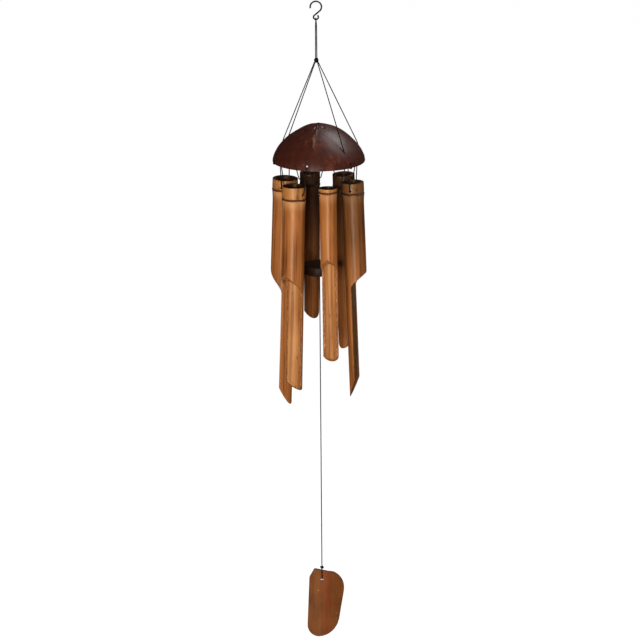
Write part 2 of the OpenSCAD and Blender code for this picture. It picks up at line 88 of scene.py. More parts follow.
def rgb(red: int, green: int, blue: int) -> Rgba:
    """Give a screen colour as the linear one that a shader takes.

    Args:
        red, green, blue: Parts of the screen colour, up to 255.

    Returns:
        The linear colour with full alpha.
    """
    parts = [part / 255 for part in (red, green, blue)]
    line = [p / 12.92 if p <= 0.04045 else ((p + 0.055) / 1.055) ** 2.4 for p in parts]
    return (line[0], line[1], line[2], 1.0)


WARM_SHEEN = rgb(255, 226, 190)


def operator(operation: str, swapped: bool = False) -> Callable[["Sock", Value], "Sock"]:
    """Give an operator's method, which adds a Math node.

    Args:
        operation: The Math node's operation.
        swapped: Whether the other value comes first.

    Returns:
        The method.
    """
    def method(sock: "Sock", other: Value) -> "Sock":
        """Add the Math node."""
        return sock.maths(operation, *((other, sock) if swapped else (sock, other)))
    return method


class Sock:
    """An output socket whose operators add Math nodes."""

    __add__, __radd__ = operator("ADD"), operator("ADD", True)
    __sub__, __rsub__ = operator("SUBTRACT"), operator("SUBTRACT", True)
    __mul__, __rmul__ = operator("MULTIPLY"), operator("MULTIPLY", True)
    __pow__ = operator("POWER")

    def __init__(self, shader: "Shader", socket: bpy.types.NodeSocket) -> None:
        """Wrap a socket of a shader's tree."""
        self.shader = shader
        self.socket = socket

    def maths(self, operation: str, *values: Value) -> "Sock":
        """Add a Math node of this operation on the given values."""
        return self.shader.node("ShaderNodeMath", {"operation": operation}, dict(enumerate(values)))

    def size(self) -> "Sock":
        """Drop the sign."""
        return self.maths("ABSOLUTE", self)

    def step(self, low: float, high: float) -> "Sock":
        """Rise smoothly from 0 at low to 1 at high.

        Args:
            low: The value that gives 0.
            high: The value that gives 1, which may be the lower of the two.

        Returns:
            The risen value.
        """
        settings = {"interpolation_type": "SMOOTHSTEP"}
        if low > high:
            return 1.0 - self.step(high, low)
        return self.shader.node("ShaderNodeMapRange", settings, {0: self, 1: low, 2: high})


class Shader:
    """A material's node tree with one Principled surface."""

    def __init__(self, name: str, place: Matrix = Matrix.Identity(4)) -> None:
        """Start a material.

        Args:
            name: The material's name.
            place: Where the pattern's own frame stands in the object's.
        """
        self.material = bpy.data.materials.new(name)
        self.material.use_nodes = True
        self.tree = self.material.node_tree
        self.surface = self.tree.nodes["Principled BSDF"]
        here = place.inverted()
        coords = self.node("ShaderNodeTexCoord", {}, {}, "Object")
        inputs = {"Vector": coords, "Location": here.to_translation(), "Rotation": here.to_euler()}
        self.local = self.node("ShaderNodeMapping", {}, inputs)

    def node(self, kind: str, settings: dict, inputs: dict, out: Union[int, str] = 0) -> Sock:
        """Add a node.

        Args:
            kind: The node's type.
            settings: Its own settings; stops are those of its ramp.
            inputs: Values or links, by the name or number of their sockets.
            out: The output to give.

        Returns:
            The chosen output.
        """
        made = self.tree.nodes.new(kind)
        for name, value in settings.items():
            if name == "stops":
                ramp = made.color_ramp
                for index, (at, colour) in enumerate(value):
                    stop = ramp.elements[index] if index < 2 else ramp.elements.new(at)
                    stop.position, stop.color = at, colour
            else:
                setattr(made, name, value)
        for name, value in inputs.items():
            if isinstance(value, Sock):
                self.tree.links.new(value.socket, made.inputs[name])
            else:
                made.inputs[name].default_value = value
        return Sock(self, made.outputs[out])

    def axes(self) -> tuple[Sock, Sock, Sock]:
        """Give the three parts of the pattern's own coordinates."""
        return tuple(self.node("ShaderNodeSeparateXYZ", {}, {0: self.local}, k) for k in range(3))

    def moved(self, scale: tuple, shift: float) -> Sock:
        """Give the pattern's coordinates, stretched along its axes and shifted."""
        inputs = {"Vector": self.local, "Scale": scale, "Location": (shift,) * 3}
        return self.node("ShaderNodeMapping", {}, inputs)

    def noise(self, scale: tuple, detail: float = 4, rough: float = 0.55, shift: float = 0) -> Sock:
        """Add noise that is stretched along the pattern's axes.

        Args:
            scale: Cycles a metre along each axis.
            detail: Octaves.
            rough: Weight of the finer octaves.
            shift: Where in the noise this pattern starts.

        Returns:
            Noise about one half.
        """
        inputs = {"Vector": self.moved(scale, shift), "Scale": 1.0, "Detail": detail, "Roughness": rough}
        return self.node("ShaderNodeTexNoise", {}, inputs)

    def cells(self, scale: tuple, shift: float = 0) -> Sock:
        """Add the distance to scattered points.

        Args:
            scale: Points a metre along each axis.
            shift: Where in the scatter this pattern starts.

        Returns:
            The distance to the nearest point, in cells.
        """
        return self.node("ShaderNodeTexVoronoi", {}, {"Vector": self.moved(scale, shift), "Scale": 1.0})

    def mix(self, share: Value, first: Value, second: Value) -> Sock:
        """Mix two colours by a share of the second."""
        return self.node("ShaderNodeMix", {"data_type": "RGBA"}, {0: share, 6: first, 7: second}, 2)

    def ramp(self, value: Sock, *stops: tuple[float, Rgba]) -> Sock:
        """Turn a value into colours."""
        return self.node("ShaderNodeValToRGB", {"stops": stops}, {0: value})

    def finish(self, links: dict, numbers: dict, height: Sock, depth: float) -> Material:
        """Join the surface's sockets.

        Args:
            links: What changes over the surface, by socket.
            numbers: What is the same all over, by socket.
            height: The relief, about one half.
            depth: The relief's depth in metres.

        Returns:
            The finished material.
        """
        bump = self.node("ShaderNodeBump", {}, {"Height": height, "Distance": depth, "Strength": 1.0})
        self.tree.links.new(bump.socket, self.surface.inputs["Normal"])
        for name, sock in links.items():
            self.tree.links.new(sock.socket, self.surface.inputs[name])
        for name, number in numbers.items():
            self.surface.inputs[name].default_value = number
        return self.material


def linked(name: str, data: bpy.types.ID) -> Object:
    """Put data into the scene as an object.

    Args:
        name: The object's name.
        data: Its mesh, light or camera.

    Returns:
        The new object.
    """
    thing = bpy.data.objects.new(name, data)
    bpy.context.scene.collection.objects.link(thing)
    return thing


def add_piece(name: str, mesh: Mesh, body: str, nodes: Sequence[str],
              materials: Sequence[Material]) -> Object:
    """Put a finished mesh on its body, in place of its nodes.

    Args:
        name: The piece's name.
        mesh: Its mesh, in place.
        body: The body that it moves with.
        nodes: The nodes that it stands for.
        materials: Its materials, by slot number.

    Returns:
        The new object.
    """
    slots = [face.material_index for face in mesh.polygons]
    mesh.materials.clear()
    for material in materials:
        mesh.materials.append(material)
    mesh.polygons.foreach_set("material_index", slots)
    piece = linked(name, mesh)
    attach(piece, body)
    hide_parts(*nodes)
    LOG.info("%s on %s: %d faces", name, body, len(mesh.polygons))
    return piece


def to_mesh(name: str, work: BMesh, sharp: float = 40) -> Mesh:
    """Close a bmesh into a smooth mesh whose hard edges stay sharp.

    Args:
        name: The mesh's name.
        work: The bmesh, which is freed.
        sharp: The angle in degrees from which an edge is hard.

    Returns:
        The mesh.
    """
    mesh = bpy.data.meshes.new(name)
    work.to_mesh(mesh)
    work.free()
    mesh.polygons.foreach_set("use_smooth", [True] * len(mesh.polygons))
    mesh.set_sharp_from_angle(angle=math.radians(sharp))
    return mesh


def cut_away(mesh: Mesh, cutters: BMesh) -> Mesh:
    """Cut holes in a closed mesh.

    Args:
        mesh: The mesh to cut, which is removed.
        cutters: Closed shapes of what goes, which are freed.

    Returns:
        The cut mesh.
    """
    tool_mesh = bpy.data.meshes.new("cutter")
    cutters.to_mesh(tool_mesh)
    cutters.free()
    for data in (mesh, tool_mesh):
        for _ in Layer:
            data.materials.append(None)
    blank, tool = linked("blank", mesh), linked("cutter", tool_mesh)
    cut = blank.modifiers.new("cut", "BOOLEAN")
    cut.operation, cut.solver, cut.object = "DIFFERENCE", "EXACT", tool
    bpy.context.view_layer.update()
    graph = bpy.context.evaluated_depsgraph_get()
    made = bpy.data.meshes.new_from_object(blank.evaluated_get(graph))
    made.name = mesh.name
    for thing, data in ((blank, mesh), (tool, tool_mesh)):
        bpy.data.objects.remove(thing)
        bpy.data.meshes.remove(data)
    return made


def add_drill(work: BMesh, diameter: float, depth: float, place: Matrix,
              slot: int = Layer.SKIN.value) -> None:
    """Add a round cutter along its place's Z axis.

    Args:
        work: The bmesh of cutters.
        diameter: The hole's diameter.
        depth: The cutter's length.
        place: The cutter's middle and direction.
        slot: The material slot that the hole's wall takes.
    """
    before = len(work.faces)
    radius = diameter / 2
    bmesh.ops.create_cone(work, cap_ends=True, segments=28, radius1=radius, radius2=radius, depth=depth,
                          matrix=place)
    work.faces.ensure_lookup_table()
    for face in work.faces[before:]:
        face.material_index = slot


def rounded(corners: Sequence[Vector], reach: float, steps: int = 4) -> list[Vector]:
    """Round the corners of a route.

    Args:
        corners: The route's points.
        reach: How far from a corner its curve starts.
        steps: Pieces of each curve.

    Returns:
        The points of the smooth route.
    """
    path = [corners[0]]
    for before, here, after in zip(corners, corners[1:], corners[2:]):
        start = here.lerp(before, min(0.5, reach / (before - here).length))
        end = here.lerp(after, min(0.5, reach / (after - here).length))
        for k in range(steps + 1):
            share = k / steps
            point = start.lerp(here, share).lerp(here.lerp(end, share), share)
            if (point - path[-1]).length > 1e-6:
                path.append(point)
    path.append(corners[-1])
    return path


def run(path: Sequence[Vector]) -> float:
    """Give a route's length."""
    return sum((two - one).length for one, two in zip(path, path[1:]))


def spaced(path: Sequence[Vector], gap: float) -> list[Vector]:
    """Give points along a route at even gaps.

    Args:
        path: The route's points.
        gap: The wanted distance between points.

    Returns:
        The even points, the route's two ends among them.
    """
    reach = [0.0]
    for one, two in zip(path, path[1:]):
        reach.append(reach[-1] + (two - one).length)
    count = max(2, round(reach[-1] / gap))
    points, leg = [], 0
    for k in range(count + 1):
        at = reach[-1] * k / count
        while leg < len(path) - 2 and reach[leg + 1] < at:
            leg += 1
        points.append(path[leg].lerp(path[leg + 1], (at - reach[leg]) / (reach[leg + 1] - reach[leg])))
    return points


def plied(path: Sequence[Vector]) -> list[list[Vector]]:
    """Lay the plies of a twisted cord round a route.

    Args:
        path: The route's points.

    Returns:
        The points of each ply.
    """
    middle = spaced(path, LAY / PLY_STEPS)
    side = (middle[1] - middle[0]).orthogonal().normalized()
    strands: list[list[Vector]] = [[] for _ in range(PLIES)]
    turn = 0.0
    for k, point in enumerate(middle):
        ahead = (middle[min(k + 1, len(middle) - 1)] - middle[max(k - 1, 0)]).normalized()
        side = (side - ahead * side.dot(ahead)).normalized()
        other = ahead.cross(side)
        for ply, strand in enumerate(strands):
            angle = turn + math.tau * ply / PLIES
            strand.append(point + (side * math.cos(angle) + other * math.sin(angle)) * CORD_D * PLY_OUT)
        turn += math.tau / PLY_STEPS
    return strands


def add_strands(name: str, strands: Sequence[Sequence[Vector]], body: str, node: str,
                material: Material) -> Object:
    """Sweep the plies of cords into a piece on its body, in place of its node.

    Args:
        name: The piece's name.
        strands: The points of each ply.
        body: The body that it moves with.
        node: The node that it stands for.
        material: The cord's material.

    Returns:
        The new object.
    """
    curve = bpy.data.curves.new(name, "CURVE")
    curve.dimensions, curve.bevel_depth, curve.bevel_resolution, curve.use_fill_caps = "3D", PLY_R, 1, True
    for strand in strands:
        spline = curve.splines.new("POLY")
        spline.points.add(len(strand) - 1)
        for knob, point in zip(spline.points, strand):
            knob.co = (*point, 1.0)
    holder = bpy.data.objects.new(name, curve)
    mesh = bpy.data.meshes.new_from_object(holder)
    bpy.data.objects.remove(holder)
    bpy.data.curves.remove(curve)
    mesh.polygons.foreach_set("use_smooth", [True] * len(mesh.polygons))
    mesh.name = name
    return add_piece(name, mesh, body, [node], [material])


def paint(faces: Iterable[bmesh.types.BMFace], layer: Layer) -> None:
    """Give faces a material slot."""
    for face in faces:
        face.material_index = layer.value


def extruded(work: BMesh, ring: list) -> tuple[list, list, list]:
    """Extrude a ring of edges.

    Args:
        work: The bmesh.
        ring: The ring's edges.

    Returns:
        The new ring's vertices and edges, and the faces between the rings.
    """
    made = bmesh.ops.extrude_edge_only(work, edges=ring)["geom"]
    verts = [thing for thing in made if isinstance(thing, bmesh.types.BMVert)]
    fresh = set(verts)
    edges = [thing for thing in made if isinstance(thing, bmesh.types.BMEdge)
             and fresh.issuperset(thing.verts)]
    return verts, edges, [thing for thing in made if isinstance(thing, bmesh.types.BMFace)]


def turned(profile: Sequence[Vector], turns: int, closed: bool, weld: float) -> BMesh:
    """Turn a profile once round the Z axis.

    Args:
        profile: The profile's points.
        turns: Steps of the turn.
        closed: Whether the last point joins the first.
        weld: Distance within which points are merged.

    Returns:
        The turned shape.
    """
    work = bmesh.new()
    verts = [work.verts.new(point) for point in profile]
    ends = verts[1:] + verts[:1] if closed else verts[1:]
    edges = [work.edges.new(pair) for pair in zip(verts, ends)]
    bmesh.ops.spin(work, geom=verts + edges, cent=(0, 0, 0), axis=(0, 0, 1), angle=math.tau, steps=turns,
                   use_merge=True)
    bmesh.ops.remove_doubles(work, verts=work.verts, dist=weld)
    return work


@dataclass(frozen=True)
class CordFinish:
    """Dark waxed cord whose plies are modelled and whose fibres are relief."""

    name: str = "waxed_cord"
    dark: Rgba = rgb(14, 14, 14)
    light: Rgba = rgb(32, 30, 29)

    def material(self) -> Material:
        """Make the material.

        Returns:
            The finished material.
        """
        shader = Shader(self.name)
        fibre = shader.noise((5200, 5200, 1700), 5, 0.6)
        worn = shader.noise((240, 240, 120), 3, 0.5, 7)
        tone = (fibre * 0.7 + worn * 0.5).step(0.38, 0.92)
        colour = shader.mix(tone, self.dark, self.light)
        links = {"Base Color": colour, "Roughness": 0.6 + fibre * 0.35}
        return shader.finish(links, {"Specular IOR Level": 0.12}, fibre, 0.05 * MM)


def overhand(place: Matrix, radius: float) -> list[list[Vector]]:
    """Lay a pulled-tight overhand knot and the cord through it.

    Args:
        place: The knot's middle, with its cord along Z.
        radius: The knot's radius.

    Returns:
        The plies of the knot and of the cord in its middle.
    """
    reach, rise = (radius - CORD_D * 0.5) / 3, 0.72 * radius - CORD_D * 0.5
    bends = []
    steps = 60
    for k in range(steps + 1):
        t = math.tau * k / steps
        bend = Vector((math.sin(t) + 2 * math.sin(2 * t), math.cos(t) - 2 * math.cos(2 * t), 0)) * reach
        bends.append(place @ (bend + Vector((0, 0, -rise * math.sin(3 * t)))))
    core = [place @ Vector((0, 0, end * 0.66 * radius)) for end in (-1, 0, 1)]
    return plied(bends) + plied(core)


@dataclass
class TwistedCord:
    """A twisted cord along a route."""

    node: str
    body: str
    corners: Sequence[Vector]
    far_end: FarEnd
    lay: str = "taut"
    reach: float = 3 * MM
    legs: int = 38
    shortest_leg: float = 1.2 * MM

    def build(self, material: Material) -> None:
        """Make the cord in place of its node.

        Args:
            material: The cord's material.
        """
        path = rounded(self.corners, self.reach)
        piece = add_strands("twisted_" + self.node, plied(path), self.body, self.node, material)
        points = spaced(path, max(run(path) / self.legs, self.shortest_leg))
        length = run(points)


@dataclass
class Knot:
    """A piece made of one or more pulled-tight knots."""

    node: str
    body: str
    radius: float
    places: Sequence[Matrix]

    def build(self, material: Material) -> None:
        """Make the knots in place of their node, of the given material."""
        strands = [strand for place in self.places for strand in overhand(place, self.radius)]
        add_strands("tied_" + self.node, strands, self.body, self.node, material)


def points(*numbers: tuple[float, float, float]) -> list[Vector]:
    """Give points in metres from millimetres."""
    return [Vector(number) * MM for number in numbers]


def round_shell(angle: float, out: float, height: float) -> Matrix:
    """Give a place round the shell, its -Y pointing outwards.

    Args:
        angle: Degrees from the front, positive to the right.
        out: Distance from the shell's axis.
        height: Height in the object's frame.

    Returns:
        The place.
    """
    turn = Matrix.Rotation(math.radians(angle), 4, "Z")
    return Matrix.Translation(SHELL_AXIS) @ turn @ Matrix.Translation((0, -out, height))


@dataclass
class Rigging:
    """Every cord and knot: the hanger, the shell's cords, the lacings and the middle line."""

    chimes: Sequence["ChimeTube"]
    material: Material
    knot_r: float = 3 * MM
    stopper_r: float = 2.2 * MM
    stopper_z: float = -195.451 * MM
    hole_top: float = -181.715 * MM
    line_knot_r: float = 2.6 * MM
    crown_knot_r: float = 2 * MM
    crown_knot_z: float = -155 * MM
    fan_angles: tuple = (40, 110, -150, -80)
    stitch_out: float = 55 * MM
    stitch_half: tuple = (3.2, 2.4)
    lacing_half: float = 22.8932 * MM
    lacing_knot_r: float = 1.6 * MM

    def build(self) -> None:
        """Make all the cords and knots."""
        self.hanger()
        self.shell_cords()
        self.stitches()
        self.lacings()
        self.middle_line()

    def hanger(self) -> None:
        """Make the doubled cord in the hook's eye and the knot that gathers the cords."""
        half = points((0.8, 0, -71), (0.8, 0, -69), (0.72, -0.6, -50), (0.75, -1.4, -34),
                      (0.5, -2, -26.06), (0, -2, -22.06), (0, -1.414, -20.646))
        back = [Vector((-p.x, -p.y, p.z)) for p in reversed(half)]
        route = half + points((0, 0, -20.06)) + back
        corners = [p + Vector((EYE_X, 0, 0)) for p in route]
        TwistedCord("hanger_loop", "hanger", corners, FarEnd.OBJECT, reach=6 * MM).build(self.material)
        middle = Vector((EYE_X, 0, KNOT_Z))
        barrel, steps, turns = [], 96, 3.6
        for k in range(steps + 1):
            share = k / steps
            turn = math.tau * turns * share
            out = self.knot_r - CORD_D * (0.5 + 0.75 * abs(2 * share - 1) ** 3)
            rise = (2 * share - 1) * (self.knot_r - CORD_D * 0.5) + 0.35 * MM * math.sin(2 * turn)
            barrel.append(middle + Vector((out * math.cos(turn), out * math.sin(turn), rise)))
        strands = plied(barrel)
        for k in range(4):
            lean = Matrix.Rotation(math.tau * k / 4, 3, "Z") @ Vector((0.8 * MM, 0, 0))
            ends = [middle + lean + Vector((0, 0, end * (self.knot_r - 0.1 * MM))) for end in (-1, 1)]
            strands += plied([ends[0], middle + lean * 1.3, ends[1]])
        add_strands("tied_hanger_knot", strands, "gathering_knot", "hanger_knot", self.material)

    def shell_cords(self) -> None:
        """Make the four cords from the knot to the shell, and the knots that stop them inside it."""
        middle, places = Vector((EYE_X, 0, KNOT_Z)), []
        for k, (angle, fan) in enumerate(zip(CORD_ANGLES, self.fan_angles)):
            side = math.radians(fan)
            out = Vector((math.sin(side), -math.cos(side), -1)) * math.sqrt(0.5)
            hole = round_shell(angle, CORD_HOLE_R, 0).to_translation()
            corners = [middle + out * (self.knot_r + 0.3 * MM), hole + Vector((0, 0, self.hole_top)),
                       hole + Vector((0, 0, self.stopper_z + 0.7 * self.stopper_r))]
            cord = TwistedCord(f"shell_cord_{k + 1}", "canopy", corners, FarEnd.KNOT, reach=4 * MM)
            cord.build(self.material)
            places.append(Matrix.Translation(hole + Vector((0, 0, self.stopper_z))))
        Knot("shell_stopper_knots", "canopy", self.stopper_r, places).build(self.material)
        crown = Matrix.Translation(SHELL_AXIS + Vector((0, 0, self.crown_knot_z)))
        Knot("crown_knot", "canopy", self.crown_knot_r, [crown]).build(self.material)

    def stitches(self) -> None:
        """Make the cord stitches through the rim's holes and round its lip."""
        strands, steps, (deep, tall) = [], 32, self.stitch_half
        for k in range(len(self.chimes)):
            place = round_shell(FIRST_TUBE + TUBE_STEP * (k + 0.5), self.stitch_out, STITCH_Z)
            ring = []
            for step in range(steps + 1):
                turn = math.tau * step / steps
                waves = (math.cos(turn), math.sin(turn))
                out, up = (math.copysign(math.sqrt(abs(wave)), wave) for wave in waves)
                ring.append(place @ (Vector((0.25 * math.sin(turn), deep * out, tall * up - 0.1)) * MM))
            strands += plied(ring)
        add_strands("laid_rim_stitches", strands, "canopy", "rim_stitches", self.material)

    def lacings(self) -> None:
        """Make the lacing through each tube's cross hole, and its two end knots."""
        for chime in self.chimes:
            foot = Vector((chime.top_r + 2.2 * MM, 0, CROSS_Z + 4 * MM))
            knot = Vector((self.lacing_half, 0, STITCH_Z))
            ahead = (foot - knot).normalized()
            half = [knot + ahead * 0.7 * self.lacing_knot_r, foot,
                    Vector((chime.top_r + 1.7 * MM, 0, CROSS_Z + 1.6 * MM)),
                    Vector((chime.top_r, 0, CROSS_Z))]
            route = half + [Vector((-p.x, p.y, p.z)) for p in reversed(half)]
            station = round_shell(chime.angle, RING_R, 0)
            body = f"lacing_{chime.number}"
            corners = [station @ p for p in route]
            cord = TwistedCord(f"tube_lacing_{chime.number}", body, corners, FarEnd.KNOT, "hanging")
            cord.build(self.material)
            places = []
            for side in (-1, 1):
                tilt = Matrix.Rotation(side * math.atan2(ahead.x, ahead.z), 4, "Y")
                places.append(station @ Matrix.Translation((side * knot.x, 0, knot.z)) @ tilt)
            Knot(f"lacing_knots_{chime.number}", body, self.lacing_knot_r, places).build(self.material)

    def middle_line(self) -> None:
        """Make the clapper's cord, the sail's cord, the sail's loop and their knots."""
        clapper = points((0, 0, -156.7), (0, 0, -220), (0, 0, -280), (0, 0, -347.2))
        sail = points((0, 0, -351.32), (0, 0, -440), (0, 0, -540), (0, 0, -640), (0, 0, -723.56))
        front, back = -3.7, 1.3
        loop = points((0, -0.8, -727.2), (0, -0.8, -727.5), (0, front - 1.1, -728.2), (0, front - 1.1, -739),
                      (0, front - 0.6, -740.6), (0, front + 0.8, -741), (0, back - 0.8, -741),
                      (0, back + 0.6, -740.6), (0, back + 1.1, -739), (0, back + 1.1, -728.2),
                      (0, 0.8, -727.5), (0, 0.8, -727.2))
        lines = (("clapper_cord", "clapper_line", clapper, FarEnd.KNOT, "taut"),
                 ("sail_cord", "sail_line", sail, FarEnd.KNOT, "taut"),
                 ("sail_loop", "sail", loop, FarEnd.OBJECT, "hanging"))
        for node, body, route, end, lay in lines:
            TwistedCord(node, body, [p + SHELL_AXIS for p in route], end, lay).build(self.material)
        knots = (("clapper_knot", "clapper_line", -348.42), ("sail_knot", "sail", -725.38))
        for node, body, height in knots:
            place = Matrix.Translation(SHELL_AXIS + Vector((0, 0, height * MM)))
            Knot(node, body, self.line_knot_r, [place]).build(self.material)


@dataclass(frozen=True)
class BambooSkin:
    """Smoked and varnished bamboo: long fibres, scorched streaks, a dark line at the joint, and painted shade
    that darkens the tube by its shade, most towards its top.
    """

    name: str
    place: Matrix
    seed: float
    joint_z: float
    shade: float = 0.0
    dark: Rgba = rgb(96, 47, 16)
    mid: Rgba = rgb(144, 84, 37)
    warm: Rgba = rgb(164, 101, 50)
    pale: Rgba = rgb(194, 130, 74)
    band: Rgba = rgb(176, 122, 66)
    bloom: Rgba = rgb(204, 150, 100)
    # painted shade: the colour that the skin is darkened towards where the tube stands in shadow
    painted_shade_colour: Rgba = rgb(30, 12, 6)
    line: Rgba = rgb(52, 18, 8)

    def material(self) -> Material:
        """Make the material.

        Returns:
            The finished material.
        """
        shader = Shader(self.name, self.place)
        height = shader.axes()[2]
        fibre = shader.noise((1500, 1500, 14), 6, 0.65, self.seed)
        streak = shader.noise((250, 250, 5), 4, 0.55, self.seed + 3)
        smoke = shader.noise((60, 60, 14), 3, 0.5, self.seed + 9)
        tone = fibre * 0.4 + streak * 0.7 + smoke * 0.42 - 0.26
        colour = shader.ramp(tone, (0.34, self.dark), (0.78, self.pale), (0.48, self.mid), (0.62, self.warm))
        wave = shader.noise((120, 120, 40), 3, 0.5, self.seed + 5)
        above = height + (wave * 4 * MM - (self.joint_z + 2 * MM))
        crown = above.step(0.3 * MM, 1.8 * MM)
        colour = shader.mix(crown * (0.1 + streak * 0.75), colour, self.band)
        scorch = shader.noise((170, 170, 110), 4, 0.65, self.seed + 12).step(0.5, 0.68)
        colour = shader.mix(crown * scorch * 0.6, colour, self.line)
        below = above.step(-16 * MM, -2 * MM) * above.step(-0.4 * MM, -1.4 * MM)
        colour = shader.mix(below * (smoke * 0.7 + streak * 0.3 - 0.12), colour, self.bloom)
        ring = (above.size() + (fibre - 0.5) * 1.2 * MM).step(2 * MM, 0.7 * MM)
        colour = shader.mix(ring * (0.6 + fibre * 0.5), colour, self.line)
        speck = shader.cells((170, 170, 80), self.seed).step(0.1, 0.03)
        colour = shader.mix(speck * 0.7, colour, self.line)
        # painted shade: darkens the skin by the tube's shade, lightly low down and fully near the top,
        # standing in for shadow under the shell and behind the front tubes
        shadow = (0.1 + height.step(-170 * MM, -10 * MM) * 0.9) * self.shade
        colour = shader.mix(shadow, colour, self.painted_shade_colour)
        rough = 0.3 + fibre * 0.2 + ring * 0.2 + speck * 0.2
        relief = fibre * 0.5 + streak * 0.35 - ring * 0.6 - speck * 0.3
        numbers = {"Coat Weight": 0.05, "Coat Roughness": 0.24, "Specular IOR Level": 0.7,
                   "Specular Tint": WARM_SHEEN}
        return shader.finish({"Base Color": colour, "Roughness": rough}, numbers, relief, 0.1 * MM)


@dataclass(frozen=True)
class BambooInside:
    """The bare inner wall of bamboo: matt, with long pale and dark fibres, and painted shade: nearly black in
    the cup above the joint, and darkened elsewhere by the tube's shade.
    """

    name: str
    place: Matrix
    seed: float
    joint_z: float
    shade: float = 0.0
    dark: Rgba = rgb(112, 62, 27)
    mid: Rgba = rgb(160, 102, 53)
    pale: Rgba = rgb(196, 142, 90)
    bud: Rgba = rgb(86, 42, 18)
    # painted shade: the colour that the inner wall is darkened towards
    painted_shade_colour: Rgba = rgb(20, 9, 5)

    def material(self) -> Material:
        """Make the material.

        Returns:
            The finished material.
        """
        shader = Shader(self.name, self.place)
        height = shader.axes()[2]
        fibre = shader.noise((2200, 2200, 10), 6, 0.7, self.seed)
        streak = shader.noise((300, 300, 6), 4, 0.5, self.seed + 4)
        smoke = shader.noise((40, 40, 12), 3, 0.5, self.seed + 8)
        tone = fibre * 0.4 + streak * 0.8 + smoke * 0.4 - 0.3
        colour = shader.ramp(tone, (0.34, self.dark), (0.74, self.pale), (0.5, self.mid))
        bud = shader.cells((95, 95, 38), self.seed).step(0.16, 0.06)
        colour = shader.mix(bud * 0.65, colour, self.bud)
        # painted shade: the cup above the joint is darkened almost to the shade colour, and the rest of the
        # inner wall by the tube's shade
        closed = height.step(self.joint_z - 3 * MM, self.joint_z) * (0.9 - self.shade) + self.shade
        colour = shader.mix(closed, colour, self.painted_shade_colour)
        links = {"Base Color": colour, "Roughness": 0.3 + fibre * 0.25}
        numbers = {"Specular IOR Level": 0.6, "Specular Tint": WARM_SHEEN}
        return shader.finish(links, numbers, fibre * 0.7 + streak * 0.3 - bud * 0.2, 0.15 * MM)


@dataclass(frozen=True)
class BambooCut:
    """A sawn bamboo edge: paler, with the dark dots of its bundles of fibres, and painted shade on the cuts
    at the top end.
    """

    name: str
    place: Matrix
    seed: float
    base: Rgba = rgb(128, 74, 36)
    pale: Rgba = rgb(186, 130, 78)
    dot: Rgba = rgb(88, 46, 21)
    # painted shade: the colour that the cuts at the top end are darkened towards
    painted_shade_colour: Rgba = rgb(46, 21, 10)

    def material(self) -> Material:
        """Make the material.

        Returns:
            The finished material.
        """
        shader = Shader(self.name, self.place)
        saw = shader.noise((900, 900, 260), 5, 0.6, self.seed)
        dots = shader.cells((1500, 1500, 60), self.seed).step(0.42, 0.2)
        stain = shader.noise((60, 60, 30), 3, 0.5, self.seed + 6)
        colour = shader.mix(saw.step(0.48, 0.7), self.base, self.pale)
        # painted shade: the cuts at the top end are darkened, unevenly, where the rim sits in shadow under
        # the shell
        top = shader.axes()[2].step(-4 * MM, 4 * MM) * (0.6 + stain * 0.4)
        colour = shader.mix(dots * 0.5 + stain.step(0.5, 0.75) * 0.3, colour, self.dot)
        colour = shader.mix(top, colour, self.painted_shade_colour)
        links = {"Base Color": colour, "Roughness": 0.5 + saw * 0.3}
        return shader.finish(links, {"Specular IOR Level": 0.35}, saw - dots * 0.5, 0.15 * MM)


RIDGE_SWELL = ((-12, 0.0), (-6, 0.3), (-2, 0.72), (-0.9, 1.0), (-0.2, 1.0), (0.35, 0.35), (0.8, 0.28),
               (1.5, 0.62), (2.5, 0.66), (17, 0.6))
RIDGE_ROWS = (2.5, 1.5, 0.8, 0.35, -0.2, -0.9, -2, -4, -6, -9, -12)


